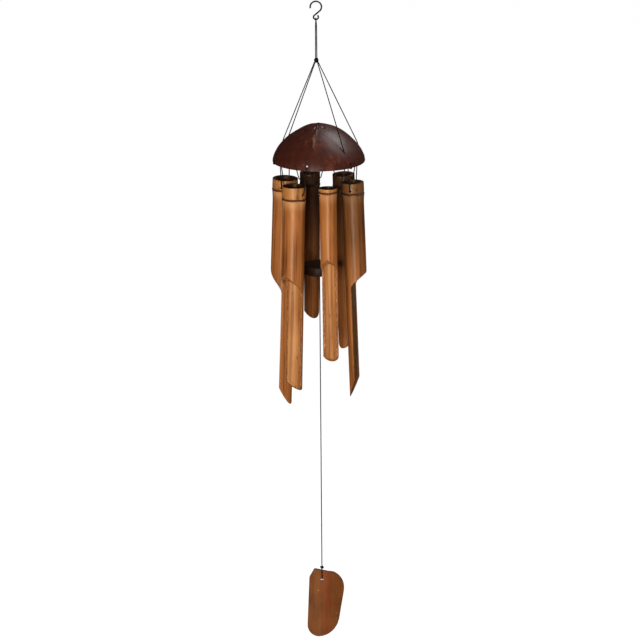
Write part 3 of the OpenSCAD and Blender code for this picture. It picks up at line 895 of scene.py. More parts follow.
@dataclass
class ChimeTube:
    """A bamboo tube: its open top end, the wall at its joint, and its scooped lower half."""

    number: int
    diameter: float
    length: float
    joint: float
    scoop: float
    run: float
    slant: float
    turn: float
    lean: float
    # painted shade: how far the tube's skin and inner wall are darkened for the shadow it stands in
    shade: float = 0.0
    wall: float = 3 * MM
    cross_down: float = 9 * MM
    cross_hole: float = 3.5 * MM
    joint_wall: float = 2.5 * MM
    swell: float = 1.1 * MM
    flat: float = -4 * MM
    cut_edge: float = 0.35 * MM
    columns: int = 64
    top_rows: int = 4
    row_gap: float = 6 * MM
    curve_rows: int = 16
    straight_rows: int = 16

    @property
    def angle(self) -> float:
        """Degrees from the front at which the tube hangs."""
        return FIRST_TUBE + TUBE_STEP * (self.number - 1)

    @property
    def top_r(self) -> float:
        """Radius of the top end."""
        return self.diameter / 2 + 0.6 * self.swell

    @property
    def place(self) -> Matrix:
        """The middle of the cross hole, with Z along the tube."""
        lean = Matrix.Rotation(-math.radians(self.lean), 4, "X")
        return round_shell(self.angle, RING_R, CROSS_Z) @ lean

    @property
    def joint_z(self) -> float:
        """Height of the joint above the cross hole."""
        return self.cross_down - self.joint

    @property
    def scoop_top(self) -> float:
        """Height of the scoop's start above the cross hole."""
        return self.cross_down - self.scoop

    def face_r(self, height: float) -> float:
        """Give the outside radius, which swells to the ridge and dips at the scar above it.

        Args:
            height: Height above the cross hole.

        Returns:
            The radius.
        """
        radius = self.diameter / 2
        at = (height - self.joint_z) / MM
        if at <= RIDGE_SWELL[0][0]:
            return radius
        for (low, first), (high, second) in zip(RIDGE_SWELL, RIDGE_SWELL[1:]):
            if at <= high:
                return radius + self.swell * (first + (second - first) * (at - low) / (high - low))
        return radius + self.swell * RIDGE_SWELL[-1][1]

    def cut_y(self, share: float) -> float:
        """Give how far across the tube the scoop has come at a share of its run."""
        radius = self.diameter / 2
        return -radius + (radius - self.flat) * (1 - math.cos(math.pi * share)) / 2

    def sheet(self, work: BMesh, heights: Sequence[float], first: float,
              radius: Callable[[float], float], layer: Layer) -> tuple[list, list]:
        """Make one face of the wall, closed above the scoop and open below its start.

        Args:
            work: The tube's bmesh.
            heights: The rows down to the scoop's start.
            first: The share of the scoop's run at which this face opens.
            radius: The face's radius at a height.
            layer: Its material slot.

        Returns:
            The edges of the upper ring, and those round the open lower half.
        """
        rows = len(heights) - 1 + self.curve_rows + self.straight_rows
        verts = bmesh.ops.create_grid(work, x_segments=self.columns, y_segments=rows, size=1)["verts"]
        bottom = self.cross_down - self.length
        seed = self.number * 7.3
        for vert in verts:
            across, row = vert.co.x, round((1 - vert.co.y) / 2 * rows)
            low = row - len(heights) + 1
            curve = first + (1 - first) * min(max(low, 0) / self.curve_rows, 1)
            height = heights[row] if low <= 0 else self.scoop_top - self.run * curve
            out = radius(height)
            spread = math.pi if low <= 0 else math.acos(max(-1, min(1, self.cut_y(curve) / out)))
            side = across * spread
            if low > self.curve_rows:
                share = (low - self.curve_rows) / self.straight_rows
                half = self.diameter / 2
                end = bottom + self.slant * (half - out * math.cos(side)) / (half + self.flat)
                height += (end - height) * share
            near = math.exp(-((height - self.joint_z) / (7 * MM)) ** 2)
            dip = noise.noise((1.6 * math.cos(side), 1.6 * math.sin(side), seed)) * 0.7 * MM * near
            vert.co = (out * math.sin(side), out * math.cos(side), height + dip)
        faces = {face for vert in verts for face in vert.link_faces}
        paint(faces, layer)
        bmesh.ops.remove_doubles(work, verts=verts, dist=1e-7)
        edges = {edge for face in faces if face.is_valid for edge in face.edges if edge.is_boundary}
        limit = heights[0] - 2 * MM
        upper = [edge for edge in edges if min(vert.co.z for vert in edge.verts) > limit]
        return upper, [edge for edge in edges if edge not in set(upper)]

    @staticmethod
    def step_in(work: BMesh, ring: list, radius: float, height: float, layer: Layer) -> list:
        """Carry a ring of edges on to a new radius and height.

        Args:
            work: The tube's bmesh.
            ring: The edges to carry on.
            radius: The new radius.
            height: The new height.
            layer: The new faces' material slot.

        Returns:
            The new ring's edges.
        """
        verts, edges, faces = extruded(work, ring)
        for vert in verts:
            vert.co = Vector((vert.co.x, vert.co.y, 0)).normalized() * radius
            vert.co.z = height
        paint(faces, layer)
        return edges

    def shape(self) -> Mesh:
        """Build the tube's mesh in its place.

        Returns:
            The mesh.
        """
        work = bmesh.new()
        half, bore = self.diameter / 2, self.diameter / 2 - self.wall
        joint_top, joint_base = self.joint_z + self.joint_wall / 2, self.joint_z - self.joint_wall / 2
        brow = self.joint_z + RIDGE_ROWS[0] * MM
        heights = [self.cross_down + (brow - self.cross_down) * k / self.top_rows
                   for k in range(self.top_rows)]
        heights += [self.joint_z + mark * MM for mark in RIDGE_ROWS]
        steps = round((heights[-1] - self.scoop_top) / self.row_gap)
        gap = (heights[-1] - self.scoop_top) / steps
        heights += [heights[-1] - gap * (k + 1) for k in range(steps)]
        upper, lower = self.sheet(work, heights, 0, self.face_r, Layer.SKIN)
        opening = math.acos(1 - 2 * self.wall / (half - self.flat)) / math.pi
        start = self.scoop_top - self.run * opening
        rows = [joint_base + (start - joint_base) * k / steps for k in range(steps + 1)]
        inner_upper, inner_lower = self.sheet(work, rows, opening, lambda height: bore, Layer.INSIDE)
        paint(bmesh.ops.bridge_loops(work, edges=lower + inner_lower)["faces"], Layer.CUT)
        ring = self.step_in(work, upper, bore, self.cross_down, Layer.CUT)
        ring = self.step_in(work, ring, bore, joint_top, Layer.INSIDE)
        for loop, height in ((ring, joint_top - 0.3 * MM), (inner_upper, joint_base - 0.4 * MM)):
            loop = self.step_in(work, loop, bore * 0.9, height + 0.3 * MM, Layer.INSIDE)
            loop = self.step_in(work, loop, bore * 0.4, height, Layer.INSIDE)
            paint(bmesh.ops.edgeloop_fill(work, edges=loop)["faces"], Layer.INSIDE)
        bmesh.ops.recalc_face_normals(work, faces=work.faces)
        cut = Layer.CUT.value
        edges = [edge for edge in work.edges if len(edge.link_faces) == 2
                 and sum(face.material_index == cut for face in edge.link_faces) == 1]
        bmesh.ops.bevel(work, geom=edges, offset=self.cut_edge, offset_type="OFFSET", segments=2, profile=0.5,
                        affect="EDGES", clamp_overlap=True, material=-1)
        for vert in work.verts:
            side = math.atan2(vert.co.y, vert.co.x)
            drift = noise.noise((vert.co.x * 60, vert.co.y * 60, vert.co.z * 14 + self.number * 5.1))
            grow = 1 + (0.11 * MM * math.cos(2 * side + self.number) + 0.14 * MM * drift) / half
            vert.co.x, vert.co.y = vert.co.x * grow, vert.co.y * grow
        bmesh.ops.rotate(work, verts=work.verts, matrix=Matrix.Rotation(math.radians(self.turn), 3, "Z"))
        mesh = to_mesh(f"bamboo_tube_{self.number}", work)
        drills = bmesh.new()
        across = Matrix.Rotation(math.pi / 2, 4, "Y")
        add_drill(drills, self.cross_hole, 2 * self.diameter, across, cut)
        mesh = cut_away(mesh, drills)
        mesh.transform(self.place)
        return mesh

    def build(self) -> None:
        """Make the tube and dress its skin, its inner wall and its cuts."""
        name, seed, place = f"bamboo_tube_{self.number}", self.number * 11.7, self.place
        finishes = (BambooSkin(f"smoked_bamboo_{self.number}", place, seed, self.joint_z, self.shade),
                    BambooInside(f"bamboo_inner_wall_{self.number}", place, seed, self.joint_z, self.shade),
                    BambooCut(f"sawn_bamboo_{self.number}", place, seed))
        materials = [finish.material() for finish in finishes]
        body, node = f"chime_{self.number}", f"tube_{self.number}"
        add_piece(name, self.shape(), body, [node], materials)


@dataclass(frozen=True)
class ShellLacquer:
    """Dark red-brown lacquer over coconut shell: streaks, amber patches, pits and a pale ridge line."""

    name: str = "lacquered_coconut"
    place: Matrix = field(default_factory=lambda: round_shell(0, 0, RIM_Z))
    deep: Rgba = rgb(38, 13, 7)
    red: Rgba = rgb(76, 31, 17)
    amber: Rgba = rgb(128, 58, 26)
    dust: Rgba = rgb(150, 112, 84)
    black: Rgba = rgb(14, 7, 5)

    def material(self) -> Material:
        """Make the material.

        Returns:
            The finished material.
        """
        shader = Shader(self.name, self.place)
        x, y, z = shader.axes()
        grain = shader.noise((150, 150, 60), 6, 0.68)
        fine = shader.noise((900, 900, 420), 5, 0.65, 4)
        patch = shader.noise((34, 34, 26), 4, 0.6, 11)
        colour = shader.mix((grain * 0.6 + fine * 0.4).step(0.2, 0.8), self.deep, self.red)
        amber = patch.step(0.54, 0.74) * grain.step(0.42, 0.66)
        colour = shader.mix(amber * 0.75, colour, self.amber)
        line = ((x + 6 * MM) + (grain - 0.5) * 9 * MM).size().step(1.8 * MM, 0.2 * MM) * y.step(0.0, -10 * MM)
        line = line * z.step(18 * MM, 36 * MM) * patch.step(0.36, 0.52)
        scratch = shader.noise((90, 90, 900), 3, 0.6, 21).step(0.62, 0.7) * fine.step(0.45, 0.62)
        low = z.step(14 * MM, 1 * MM)
        worn = line * fine.step(0.4, 0.6) * 0.7 + scratch * (0.12 + low * 0.55)
        colour = shader.mix(worn, colour, self.dust)
        pit = shader.cells((260, 260, 200), 3).step(0.2, 0.06) * patch.step(0.35, 0.6)
        colour = shader.mix(pit * 0.8, colour, self.black)
        rough = 0.4 + fine * 0.14 + worn * 0.3 + pit * 0.3
        swell = shader.noise((120, 120, 70), 2, 0.45, 2)
        relief = swell - pit * 0.6 + worn * 0.1
        numbers = {"Coat Weight": 0.15, "Coat Roughness": 0.36, "Specular IOR Level": 0.36}
        return shader.finish({"Base Color": colour, "Roughness": rough}, numbers, relief, 0.07 * MM)


@dataclass(frozen=True)
class ShellRaw:
    """Bare coconut shell at the rim, in the holes and inside: fibrous and matt."""

    name: str = "raw_coconut"
    place: Matrix = field(default_factory=lambda: round_shell(0, 0, RIM_Z))
    dark: Rgba = rgb(40, 18, 10)
    brown: Rgba = rgb(92, 50, 27)
    pale: Rgba = rgb(150, 100, 62)

    def material(self) -> Material:
        """Make the material.

        Returns:
            The finished material.
        """
        shader = Shader(self.name, self.place)
        height = shader.axes()[2]
        grain = shader.noise((420, 420, 300), 6, 0.7)
        stain = shader.noise((60, 60, 60), 3, 0.5, 5)
        chip = shader.cells((420, 420, 420), 8).step(0.32, 0.1) * height.step(3 * MM, 0.4 * MM)
        colour = shader.mix(grain.step(0.3, 0.68), self.dark, self.brown)
        colour = shader.mix(chip * 0.7 + stain.step(0.55, 0.8) * 0.2, colour, self.pale)
        links = {"Base Color": colour, "Roughness": 0.6 + grain * 0.3}
        return shader.finish(links, {"Specular IOR Level": 0.3}, grain + chip * 0.4, 0.4 * MM)


@dataclass
class CoconutShell:
    """The half coconut shell with its drilled rim, cord holes, crown hole and eye marks."""

    rim_r: float = 57.5 * MM
    height: float = 47.5 * MM
    wall: float = 4.5 * MM
    roundness: float = 1.62
    rim_hole: float = 3.5 * MM
    rim_hole_up: float = 5 * MM
    cord_hole: float = 2.6 * MM
    cord_hole_up: float = 28 * MM
    crown_hole: float = 3 * MM
    dimple: float = 2 * MM
    dimple_d: float = 6 * MM
    eye_marks: tuple = ((-17.5, -13.5), (-2.5, -14), (6, -12))
    eye_r: float = 3 * MM
    eye_depth: float = 0.8 * MM
    ridge_angles: tuple = (-9, 111, -129)
    ridge_width: float = 0.07
    turns: int = 168
    rows: int = 60

    def arc(self, rim_r: float, height: float, rows: int) -> list[Vector]:
        """Give one face's curve from the rim to the crown.

        Args:
            rim_r: The face's radius at the rim.
            height: Its height at the crown.
            rows: Pieces of the curve.

        Returns:
            The curve's points.
        """
        power, curve = 2 / self.roundness, []
        for k in range(rows + 1):
            turn = math.pi / 2 * (k / rows)
            out, rise = rim_r * max(0, math.cos(turn)) ** power, height * math.sin(turn) ** power
            curve.append(Vector((out if k < rows else 0, 0, rise)))
        return curve

    def weather(self, point: Vector) -> Vector:
        """Give how the weathered outer face departs from the turned one.

        Args:
            point: A point of the outer face, about the shell's axis.

        Returns:
            The shift at that point.
        """
        side = math.atan2(point.x, -point.y)
        out = Vector((point.x, point.y, 0.7 * point.z)).normalized()
        ridge = sum(math.exp(-((math.remainder(side - math.radians(mark), math.tau)) / self.ridge_width) ** 2)
                    for mark in self.ridge_angles)
        lump = noise.fractal(point * 40, 0.9, 2.1, 2) * 0.4
        fade = min(1, math.hypot(point.x, point.y) / (14 * MM))
        shift = out * (0.45 * ridge * fade + lump) * MM
        for mark in self.eye_marks:
            away = math.hypot(point.x - mark[0] * MM, point.y - mark[1] * MM) / self.eye_r
            if away < 1.35:
                edge = 0.3 * math.exp(-((away - 1.08) / 0.2) ** 2)
                shift += out * (edge * MM - self.eye_depth * max(0, 1 - away ** 2) ** 0.7)
        low = max(0, 1 - point.z / (4 * MM))
        chip = noise.noise(Vector((math.sin(side), math.cos(side), 0.2)) * 26) - 0.25
        return shift - out * low * max(0, chip) * 1.1 * MM

    def shape(self) -> Mesh:
        """Build the shell's mesh in its place.

        Returns:
            The mesh.
        """
        outer = self.arc(self.rim_r, self.height, self.rows)
        inner = self.arc(self.rim_r - self.wall, self.height - self.wall, self.rows // 2)
        lip = [Vector((self.rim_r - self.wall * part, 0, -0.0001 * (part - part ** 2)))
               for part in (0.75, 0.5, 0.25)]
        work = turned(list(reversed(inner)) + lip + outer, self.turns, False, 1e-6)
        bmesh.ops.recalc_face_normals(work, faces=work.faces)
        bare = self.rim_r - 0.3 * MM
        for face in work.faces:
            spot = face.calc_center_median()
            outside = face.normal.dot(spot - Vector((0, 0, -0.02))) > 0
            flat = spot.z < 0.05 * MM and math.hypot(spot.x, spot.y) < bare
            face.material_index = Layer.SKIN.value if outside and not flat else Layer.INSIDE.value
        skin = [face for face in work.faces if face.material_index == Layer.SKIN.value]
        outside = {vert for face in skin for vert in face.verts}
        for vert in work.verts:
            if vert in outside:
                vert.co += self.weather(vert.co)
            elif vert.co.z < 0.05 * MM:
                vert.co.z += noise.noise(vert.co * 420) * 0.25 * MM
            else:
                vert.co += vert.normal * noise.fractal(vert.co * 70, 0.9, 2.1, 3) * 0.3 * MM
        mesh = to_mesh("coconut_canopy", work, 50)
        mesh = cut_away(mesh, self.drills())
        mesh.transform(round_shell(0, 0, RIM_Z))
        return mesh

    def drills(self) -> BMesh:
        """Make the cutters of all the shell's holes.

        Returns:
            The cutters, about the shell's axis.
        """
        work, raw = bmesh.new(), Layer.INSIDE.value
        add_drill(work, self.crown_hole, 4 * self.wall, Matrix.Translation((0, 0, self.height)), raw)
        dimple = Matrix.Translation((0, 0, self.height + self.dimple))
        add_drill(work, self.dimple_d, 4 * self.dimple, dimple)
        for angle in CORD_ANGLES:
            spot = Matrix.Rotation(math.radians(angle), 4, "Z") @ Vector((0, -CORD_HOLE_R, 0))
            place = Matrix.Translation(spot + Vector((0, 0, self.cord_hole_up)))
            add_drill(work, self.cord_hole, self.height, place, raw)
        spot = Matrix.Translation((0, -self.rim_r + self.wall / 2, self.rim_hole_up))
        for k in range(len(CHIMES)):
            turn = Matrix.Rotation(math.radians(FIRST_TUBE + TUBE_STEP * (k + 0.5)), 4, "Z")
            place = turn @ spot @ Matrix.Rotation(math.pi / 2, 4, "X")
            add_drill(work, self.rim_hole, 3 * self.wall, place, raw)
        return work

    def build(self) -> None:
        """Make the shell and dress it."""
        materials = [ShellLacquer().material(), ShellRaw().material()]
        add_piece("coconut_canopy", self.shape(), "canopy", ["coconut_shell"], materials)


@dataclass(frozen=True)
class DarkWood:
    """Dark stained wood of the clapper: turned rings on its grain."""

    name: str = "dark_turned_wood"
    place: Matrix = field(default_factory=lambda: round_shell(0, 0, CLAPPER_Z))
    dark: Rgba = rgb(16, 8, 5)
    brown: Rgba = rgb(38, 18, 9)
    worn: Rgba = rgb(70, 38, 20)

    def material(self) -> Material:
        """Make the material.

        Returns:
            The finished material.
        """
        shader = Shader(self.name, self.place)
        x, y, z = shader.axes()
        grain = shader.noise((60, 700, 500), 5, 0.6)
        fine = shader.noise((420, 2400, 1600), 4, 0.6, 3)
        out = (x * x + y * y) ** 0.5
        rings = out.maths("SINE", out * 5200) * 0.5
        colour = shader.mix((grain * 0.7 + fine * 0.3).step(0.34, 0.68), self.dark, self.brown)
        edge = out.step(19.5 * MM, 22 * MM) * (z - 6 * MM).size().step(3 * MM, 5.6 * MM)
        colour = shader.mix(edge * fine.step(0.4, 0.62) * 0.6, colour, self.worn)
        links = {"Base Color": colour, "Roughness": 0.34 + fine * 0.25}
        numbers = {"Coat Weight": 0.02, "Coat Roughness": 0.3, "Specular IOR Level": 0.18}
        return shader.finish(links, numbers, grain * 0.6 + rings * 0.25, 0.12 * MM)


@dataclass
class Clapper:
    """The round clapper that strikes the tubes."""

    radius: float = 22 * MM
    thickness: float = 12 * MM
    bevel: float = 2 * MM
    hole_r: float = 1.8 * MM
    turns: int = 96

    def build(self) -> None:
        """Turn the disc and dress it."""
        tall, wide, small = self.thickness, self.radius, self.hole_r
        dish = 0.4 * MM
        line = [(small, 0.7 * MM), (small + 0.7 * MM, 0), (wide * 0.45, dish), (wide * 0.8, dish * 0.5),
                (wide - self.bevel, 0), (wide - 0.55 * self.bevel, 0.2 * self.bevel),
                (wide - 0.16 * self.bevel, 0.6 * self.bevel), (wide, 1.1 * self.bevel),
                (wide - 0.15 * MM, tall / 2)]
        profile = [Vector((out, 0, rise)) for out, rise in line]
        profile += [Vector((point.x, 0, tall - point.z)) for point in reversed(profile[:-1])]
        work = turned(profile, self.turns, True, 1e-7)
        for vert in work.verts:
            out = Vector((vert.co.x, vert.co.y, 0)).normalized()
            vert.co += out * noise.noise(vert.co * 130) * 0.12 * MM
        bmesh.ops.recalc_face_normals(work, faces=work.faces)
        mesh = to_mesh("turned_clapper", work, 55)
        mesh.transform(round_shell(0, 0, CLAPPER_Z))
        add_piece("turned_clapper", mesh, "clapper", ["clapper"], [DarkWood().material()])


@dataclass(frozen=True)
class SailFinish:
    """Split bamboo of the sail: long fibres, a reddish band, a dark edge and pale specks."""

    name: str
    place: Matrix
    edge: bool = False
    dark: Rgba = rgb(76, 38, 13)
    brown: Rgba = rgb(104, 56, 22)
    tan: Rgba = rgb(124, 72, 32)
    red: Rgba = rgb(112, 46, 16)
    speck: Rgba = rgb(206, 164, 116)

    def material(self) -> Material:
        """Make the material.

        Returns:
            The finished material.
        """
        shader = Shader(self.name, self.place)
        x = shader.axes()[0]
        fibre = shader.noise((1400, 1400, 16), 6, 0.66)
        streak = shader.noise((210, 210, 7), 4, 0.55, 6)
        smoke = shader.noise((55, 55, 34), 4, 0.55, 13)
        tone = fibre * 0.3 + streak * 0.4 + smoke * 0.5 - (0.34 if self.edge else 0.1)
        colour = shader.ramp(tone, (0.34, self.dark), (0.74, self.tan), (0.52, self.brown))
        band = (x - 6 * MM + (smoke - 0.5) * 14 * MM).size().step(9 * MM, 2 * MM)
        colour = shader.mix(band * (0.25 + streak * 0.5), colour, self.red)
        dots = shader.cells((190, 190, 150), 4).step(0.12, 0.05) * smoke.step(0.42, 0.6)
        colour = shader.mix(dots * 0.8, colour, self.speck)
        links = {"Base Color": colour, "Roughness": 0.42 + fibre * 0.25}
        numbers = {"Specular IOR Level": 0.4, "Specular Tint": WARM_SHEEN}
        return shader.finish(links, numbers, fibre * 0.6 + streak * 0.4 - dots * 0.2, 0.14 * MM)


@dataclass
class Sail:
    """The bowed bamboo sail that the wind catches."""

    left: float = 18.5
    width: float = 46
    height: float = 87
    thickness: float = 5
    bow_r: float = 60
    forward: float = 1.2
    hole_down: float = 14
    hole: float = 3.6
    top_z: float = -727
    edge: float = 0.9
    corner_steps: int = 8

    def outline(self) -> list[Vector]:
        """Lay out the sail's rounded corners.

        Returns:
            The outline's points about the hole's line, in millimetres, clockwise from the front.
        """
        right = self.width - self.left
        corners = ((10.6 - self.left, -13.7, 8, 175, 151), (10.6 - self.left, -3, 3, 130, 78),
                   (right - 14.14, -7.46, 3, 78, 65), (right - 24, -26, 24, 62, -8),
                   (-5.5, 27 - self.height, 27, -11, -86), (14 - self.left, 14 - self.height, 14, -95, -182))
        line = []
        for across, down, radius, first, last in corners:
            for k in range(self.corner_steps + 1):
                turn = math.radians(first + (last - first) * k / self.corner_steps)
                line.append(Vector((across + radius * math.cos(turn), 0, down + radius * math.sin(turn))))
        return line

    def bow(self, across: float, front: bool) -> float:
        """Give how far back a face lies.

        Args:
            across: Distance across from the hole's line.
            front: Whether it is the front face.

        Returns:
            The face's Y.
        """
        radius = self.bow_r + (0.5 if front else -0.5) * self.thickness
        return self.bow_r - self.forward - math.sqrt(radius ** 2 - across ** 2)

    def shape(self) -> Mesh:
        """Build the sail's mesh in its place.

        Returns:
            The mesh.
        """
        work = bmesh.new()
        bmesh.ops.create_grid(work, x_segments=34, y_segments=60, size=1)
        bmesh.ops.scale(work, verts=work.verts, vec=(30, 50, 1))
        bmesh.ops.rotate(work, verts=work.verts, matrix=Matrix.Rotation(math.pi / 2, 3, "X"))
        bmesh.ops.translate(work, verts=work.verts, vec=(4, 0, -self.height / 2))
        line = self.outline()
        for one, two in zip(line, line[1:] + line[:1]):
            away = Vector((one.z - two.z, 0, two.x - one.x))
            if away.length > 1e-6:
                whole = work.verts[:] + work.edges[:] + work.faces[:]
                bmesh.ops.bisect_plane(work, geom=whole, plane_co=one, plane_no=away.normalized(),
                                       clear_outer=True)
        bmesh.ops.remove_doubles(work, verts=work.verts, dist=0.35)
        back = set(work.verts)
        bmesh.ops.extrude_face_region(work, geom=work.faces[:], use_keep_orig=True)
        for vert in work.verts:
            wave = noise.noise(vert.co * 0.06) * 0.25
            vert.co.y = self.bow(vert.co.x, vert not in back) + wave
        bmesh.ops.recalc_face_normals(work, faces=work.faces)
        paint((face for face in work.faces if abs(face.normal.y) <= 0.6), Layer.INSIDE)
        edges = [edge for edge in work.edges if len({face.material_index for face in edge.link_faces}) == 2]
        bmesh.ops.bevel(work, geom=edges, offset=self.edge, offset_type="OFFSET", segments=3, profile=0.5,
                        affect="EDGES", clamp_overlap=True, material=-1)
        bmesh.ops.scale(work, verts=work.verts, vec=(MM, MM, MM))
        drill = bmesh.new()
        spot = Matrix.Translation((0, 0, -self.hole_down * MM)) @ Matrix.Rotation(math.pi / 2, 4, "X")
        add_drill(drill, self.hole * MM, 30 * MM, spot, Layer.INSIDE.value)
        mesh = cut_away(to_mesh("bamboo_sail", work), drill)
        mesh.transform(round_shell(0, 0, self.top_z * MM))
        return mesh

    def build(self) -> None:
        """Make the sail and dress it."""
        place = round_shell(0, 0, self.top_z * MM)
        finishes = SailFinish("sail_bamboo", place), SailFinish("sail_edge", place, True)
        materials = [finish.material() for finish in finishes]
        add_piece("bamboo_sail", self.shape(), "sail", ["sail"], materials)


@dataclass(frozen=True)
class BlackWire:
    """Blackened steel wire, rubbed brighter where it bears."""

    name: str = "blackened_wire"
    dark: Rgba = rgb(14, 14, 15)
    rubbed: Rgba = rgb(58, 56, 56)

    def material(self) -> Material:
        """Make the material.

        Returns:
            The finished material.
        """
        shader = Shader(self.name)
        scale = shader.noise((700, 700, 700), 5, 0.6)
        scuff = shader.noise((1600, 5000, 1600), 4, 0.6, 3).step(0.58, 0.72)
        colour = shader.mix(scuff * 0.55 + scale * 0.15, self.dark, self.rubbed)
        links = {"Base Color": colour, "Roughness": 0.3 + scale * 0.25, "Metallic": 0.4 + scuff * 0.5}
        return shader.finish(links, {"Specular IOR Level": 0.5}, scale, 0.05 * MM)


@dataclass
class WireHook:
    """The wire hook: a bend, a straight shank and a curled eye."""

    wire_r: float = 1 * MM
    bend_r: float = 7 * MM
    bend_z: float = -6 * MM
    shank: float = 8.4 * MM
    eye_z: float = -19.06 * MM
    tip_angle: float = 190
    bend_end: float = -50
    eye_start: float = 130
    eye_turn: float = 270
    steps: int = 44

    def close(self, work: BMesh, ring: list, ahead: Vector) -> None:
        """Round off an open end of the wire.

        Args:
            work: The hook's bmesh.
            ring: The edges of the open end.
            ahead: The direction out of the wire.
        """
        for shrink, reach in ((0.8, 0.4), (0.5, 0.3)):
            verts, ring, _ = extruded(work, ring)
            middle = sum((vert.co for vert in verts), Vector()) / len(verts)
            for vert in verts:
                vert.co = middle + (vert.co - middle) * shrink + ahead * reach * self.wire_r
        bmesh.ops.edgeloop_fill(work, edges=ring)

    def build(self) -> None:
        """Bend the wire and dress it."""
        work = bmesh.new()
        tip, end = math.radians(self.tip_angle), math.radians(self.bend_end)
        start = Vector((self.bend_r * math.cos(tip), 0, self.bend_z + self.bend_r * math.sin(tip)))
        along = Vector((math.sin(tip), 0, -math.cos(tip)))
        place = Matrix.Translation(start) @ along.to_track_quat("Z", "Y").to_matrix().to_4x4()
        bmesh.ops.create_circle(work, segments=16, radius=self.wire_r, matrix=place)
        first = work.edges[:]
        last = bmesh.ops.spin(work, geom=work.verts[:] + first, cent=(0, 0, self.bend_z), axis=(0, 1, 0),
                              angle=tip - end, steps=self.steps)["geom_last"]
        straight = Vector((math.sin(end), 0, -math.cos(end))) * self.shank
        edges = [thing for thing in last if isinstance(thing, bmesh.types.BMEdge)]
        verts, ring, _ = extruded(work, edges)
        bmesh.ops.translate(work, verts=verts, vec=straight)
        last = bmesh.ops.spin(work, geom=verts + ring, cent=(EYE_X, 0, self.eye_z), axis=(0, 1, 0),
                              angle=-math.radians(self.eye_turn), steps=self.steps)["geom_last"]
        self.close(work, first, -along)
        turn = math.radians(self.eye_start + self.eye_turn)
        self.close(work, [thing for thing in last if isinstance(thing, bmesh.types.BMEdge)],
                   Vector((-math.sin(turn), 0, math.cos(turn))))
        bmesh.ops.recalc_face_normals(work, faces=work.faces)
        mesh = to_mesh("bent_wire_hook", work)
        add_piece("bent_wire_hook", mesh, "hook", ["hanging_hook"], [BlackWire().material()])


@dataclass(frozen=True)
class Softbox:
    """A soft light that faces the chime, and whether it is seen in the varnish."""

    name: str
    place: tuple[float, float, float]
    wide: float
    tall: float
    power: float
    glossy: bool


LIGHTS = (
    Softbox("key_light", (-1.1, -2.7, -0.3), 2.0, 2.0, 80, False),
    Softbox("strip_light", (-0.55, -2.9, -0.3), 0.6, 2.4, 40, True),
    Softbox("fill_light", (2.0, -1.9, -0.2), 2.0, 2.0, 24, False),
    Softbox("top_light", (1.2, 0.7, 1.9), 1.4, 1.4, 46, True),
    Softbox("back_light", (0.3, 2.6, 0.3), 2.0, 2.0, 48, False),
)


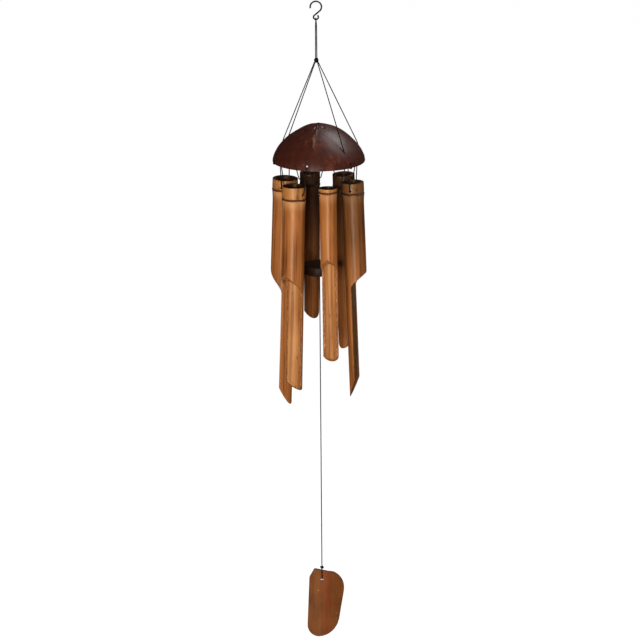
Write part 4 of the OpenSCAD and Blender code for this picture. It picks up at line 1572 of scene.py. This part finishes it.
@dataclass
class Studio:
    """The camera at the photograph's angle, the soft lights and the pale floor."""

    target: Vector = field(default_factory=lambda: Vector((2.1, 0.7, -406.5)) * MM)
    distance: float = 20.0
    azimuth: float = 0.2
    elevation: float = 14.5
    roll: float = -0.45
    frame_width: float = 0.796
    sensor: float = 36
    view_end: float = 200
    surround: float = 0.035
    floor_z: float = -2.2

    def build(self) -> None:
        """Set up the whole studio."""
        self.camera()
        self.lights()
        self.floor()

    def camera(self) -> None:
        """Make the camera, which looks slightly down on the shell."""
        data = bpy.data.cameras.new("camera")
        data.sensor_width = self.sensor
        data.lens = self.sensor * self.distance / self.frame_width
        data.clip_end = self.view_end
        camera = linked("camera", data)
        rise = math.radians(self.elevation)
        back = Vector((0, -math.cos(rise), math.sin(rise))) * self.distance
        back.rotate(Matrix.Rotation(math.radians(self.azimuth), 3, "Z"))
        turn = (-back).to_track_quat("-Z", "Y").to_matrix().to_4x4()
        spin = Matrix.Rotation(math.radians(self.roll), 4, "Z")
        camera.matrix_world = Matrix.Translation(self.target + back) @ turn @ spin
        bpy.context.scene.camera = camera

    def lights(self) -> None:
        """Make a dim surround and the softboxes, of which a strip is seen in the varnish."""
        world = bpy.data.worlds.new("dim_surround")
        world.use_nodes = True
        background = world.node_tree.nodes["Background"]
        background.inputs["Color"].default_value = (1, 1, 1, 1)
        background.inputs["Strength"].default_value = self.surround
        bpy.context.scene.world = world
        bpy.context.scene.view_settings.view_transform = "Standard"
        for box in LIGHTS:
            data = bpy.data.lights.new(box.name, "AREA")
            data.shape, data.size, data.size_y, data.energy = "RECTANGLE", box.wide, box.tall, box.power
            light = linked(box.name, data)
            light.visible_camera, light.visible_glossy = False, box.glossy
            aim = self.target + Vector((0, 0, 0.15)) - Vector(box.place)
            turn = aim.to_track_quat("-Z", "Y").to_matrix().to_4x4()
            light.matrix_world = Matrix.Translation(box.place) @ turn

    def floor(self) -> None:
        """Make the floor, far below the sail."""
        work = bmesh.new()
        bmesh.ops.create_grid(work, x_segments=4, y_segments=4, size=60,
                              matrix=Matrix.Translation((0, 0, self.floor_z)))
        mesh = to_mesh("floor", work)
        shader = Shader("pale_floor")
        grain = shader.noise((3, 3, 3), 3)
        colour = shader.mix(grain, rgb(240, 240, 240), rgb(246, 246, 246))
        numbers = {"Roughness": 0.9, "Emission Color": (1, 1, 1, 1), "Emission Strength": 0.95}
        mesh.materials.append(shader.finish({"Base Color": colour}, numbers, grain, 0.1 * MM))
        floor = linked("floor", mesh)
        floor.visible_glossy = floor.visible_diffuse = False


# The last number, where given, is the tube's painted shade.
CHIMES = (
    ChimeTube(1, 28.5 * MM, 262 * MM, 16 * MM, 111 * MM, 25 * MM, 10 * MM, 0, 1.95),
    ChimeTube(2, 21.5 * MM, 223 * MM, 5.2 * MM, 89 * MM, 19 * MM, 8 * MM, -26, 1.7),
    ChimeTube(3, 26.5 * MM, 275 * MM, 13.5 * MM, 112 * MM, 22 * MM, 23 * MM, 0, 1.8, 0.62),
    ChimeTube(4, 26 * MM, 223 * MM, 14 * MM, 92 * MM, 22 * MM, 12 * MM, 0, 2.15, 0.84),
    ChimeTube(5, 24 * MM, 187 * MM, 14.5 * MM, 77 * MM, 20 * MM, 10 * MM, 20, 2.25, 0.92),
    ChimeTube(6, 30.5 * MM, 289 * MM, 13.5 * MM, 113 * MM, 32 * MM, 23 * MM, -5, 2),
)


def main() -> None:
    """Build the chime's sub-assemblies in order."""
    logging.basicConfig(level=logging.INFO, format="%(message)s")
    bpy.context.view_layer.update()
    Studio().build()
    Rigging(CHIMES, CordFinish().material()).build()
    WireHook().build()
    CoconutShell().build()
    for chime in CHIMES:
        chime.build()
    Clapper().build()
    Sail().build()


if __name__ == "__main__":
    main()
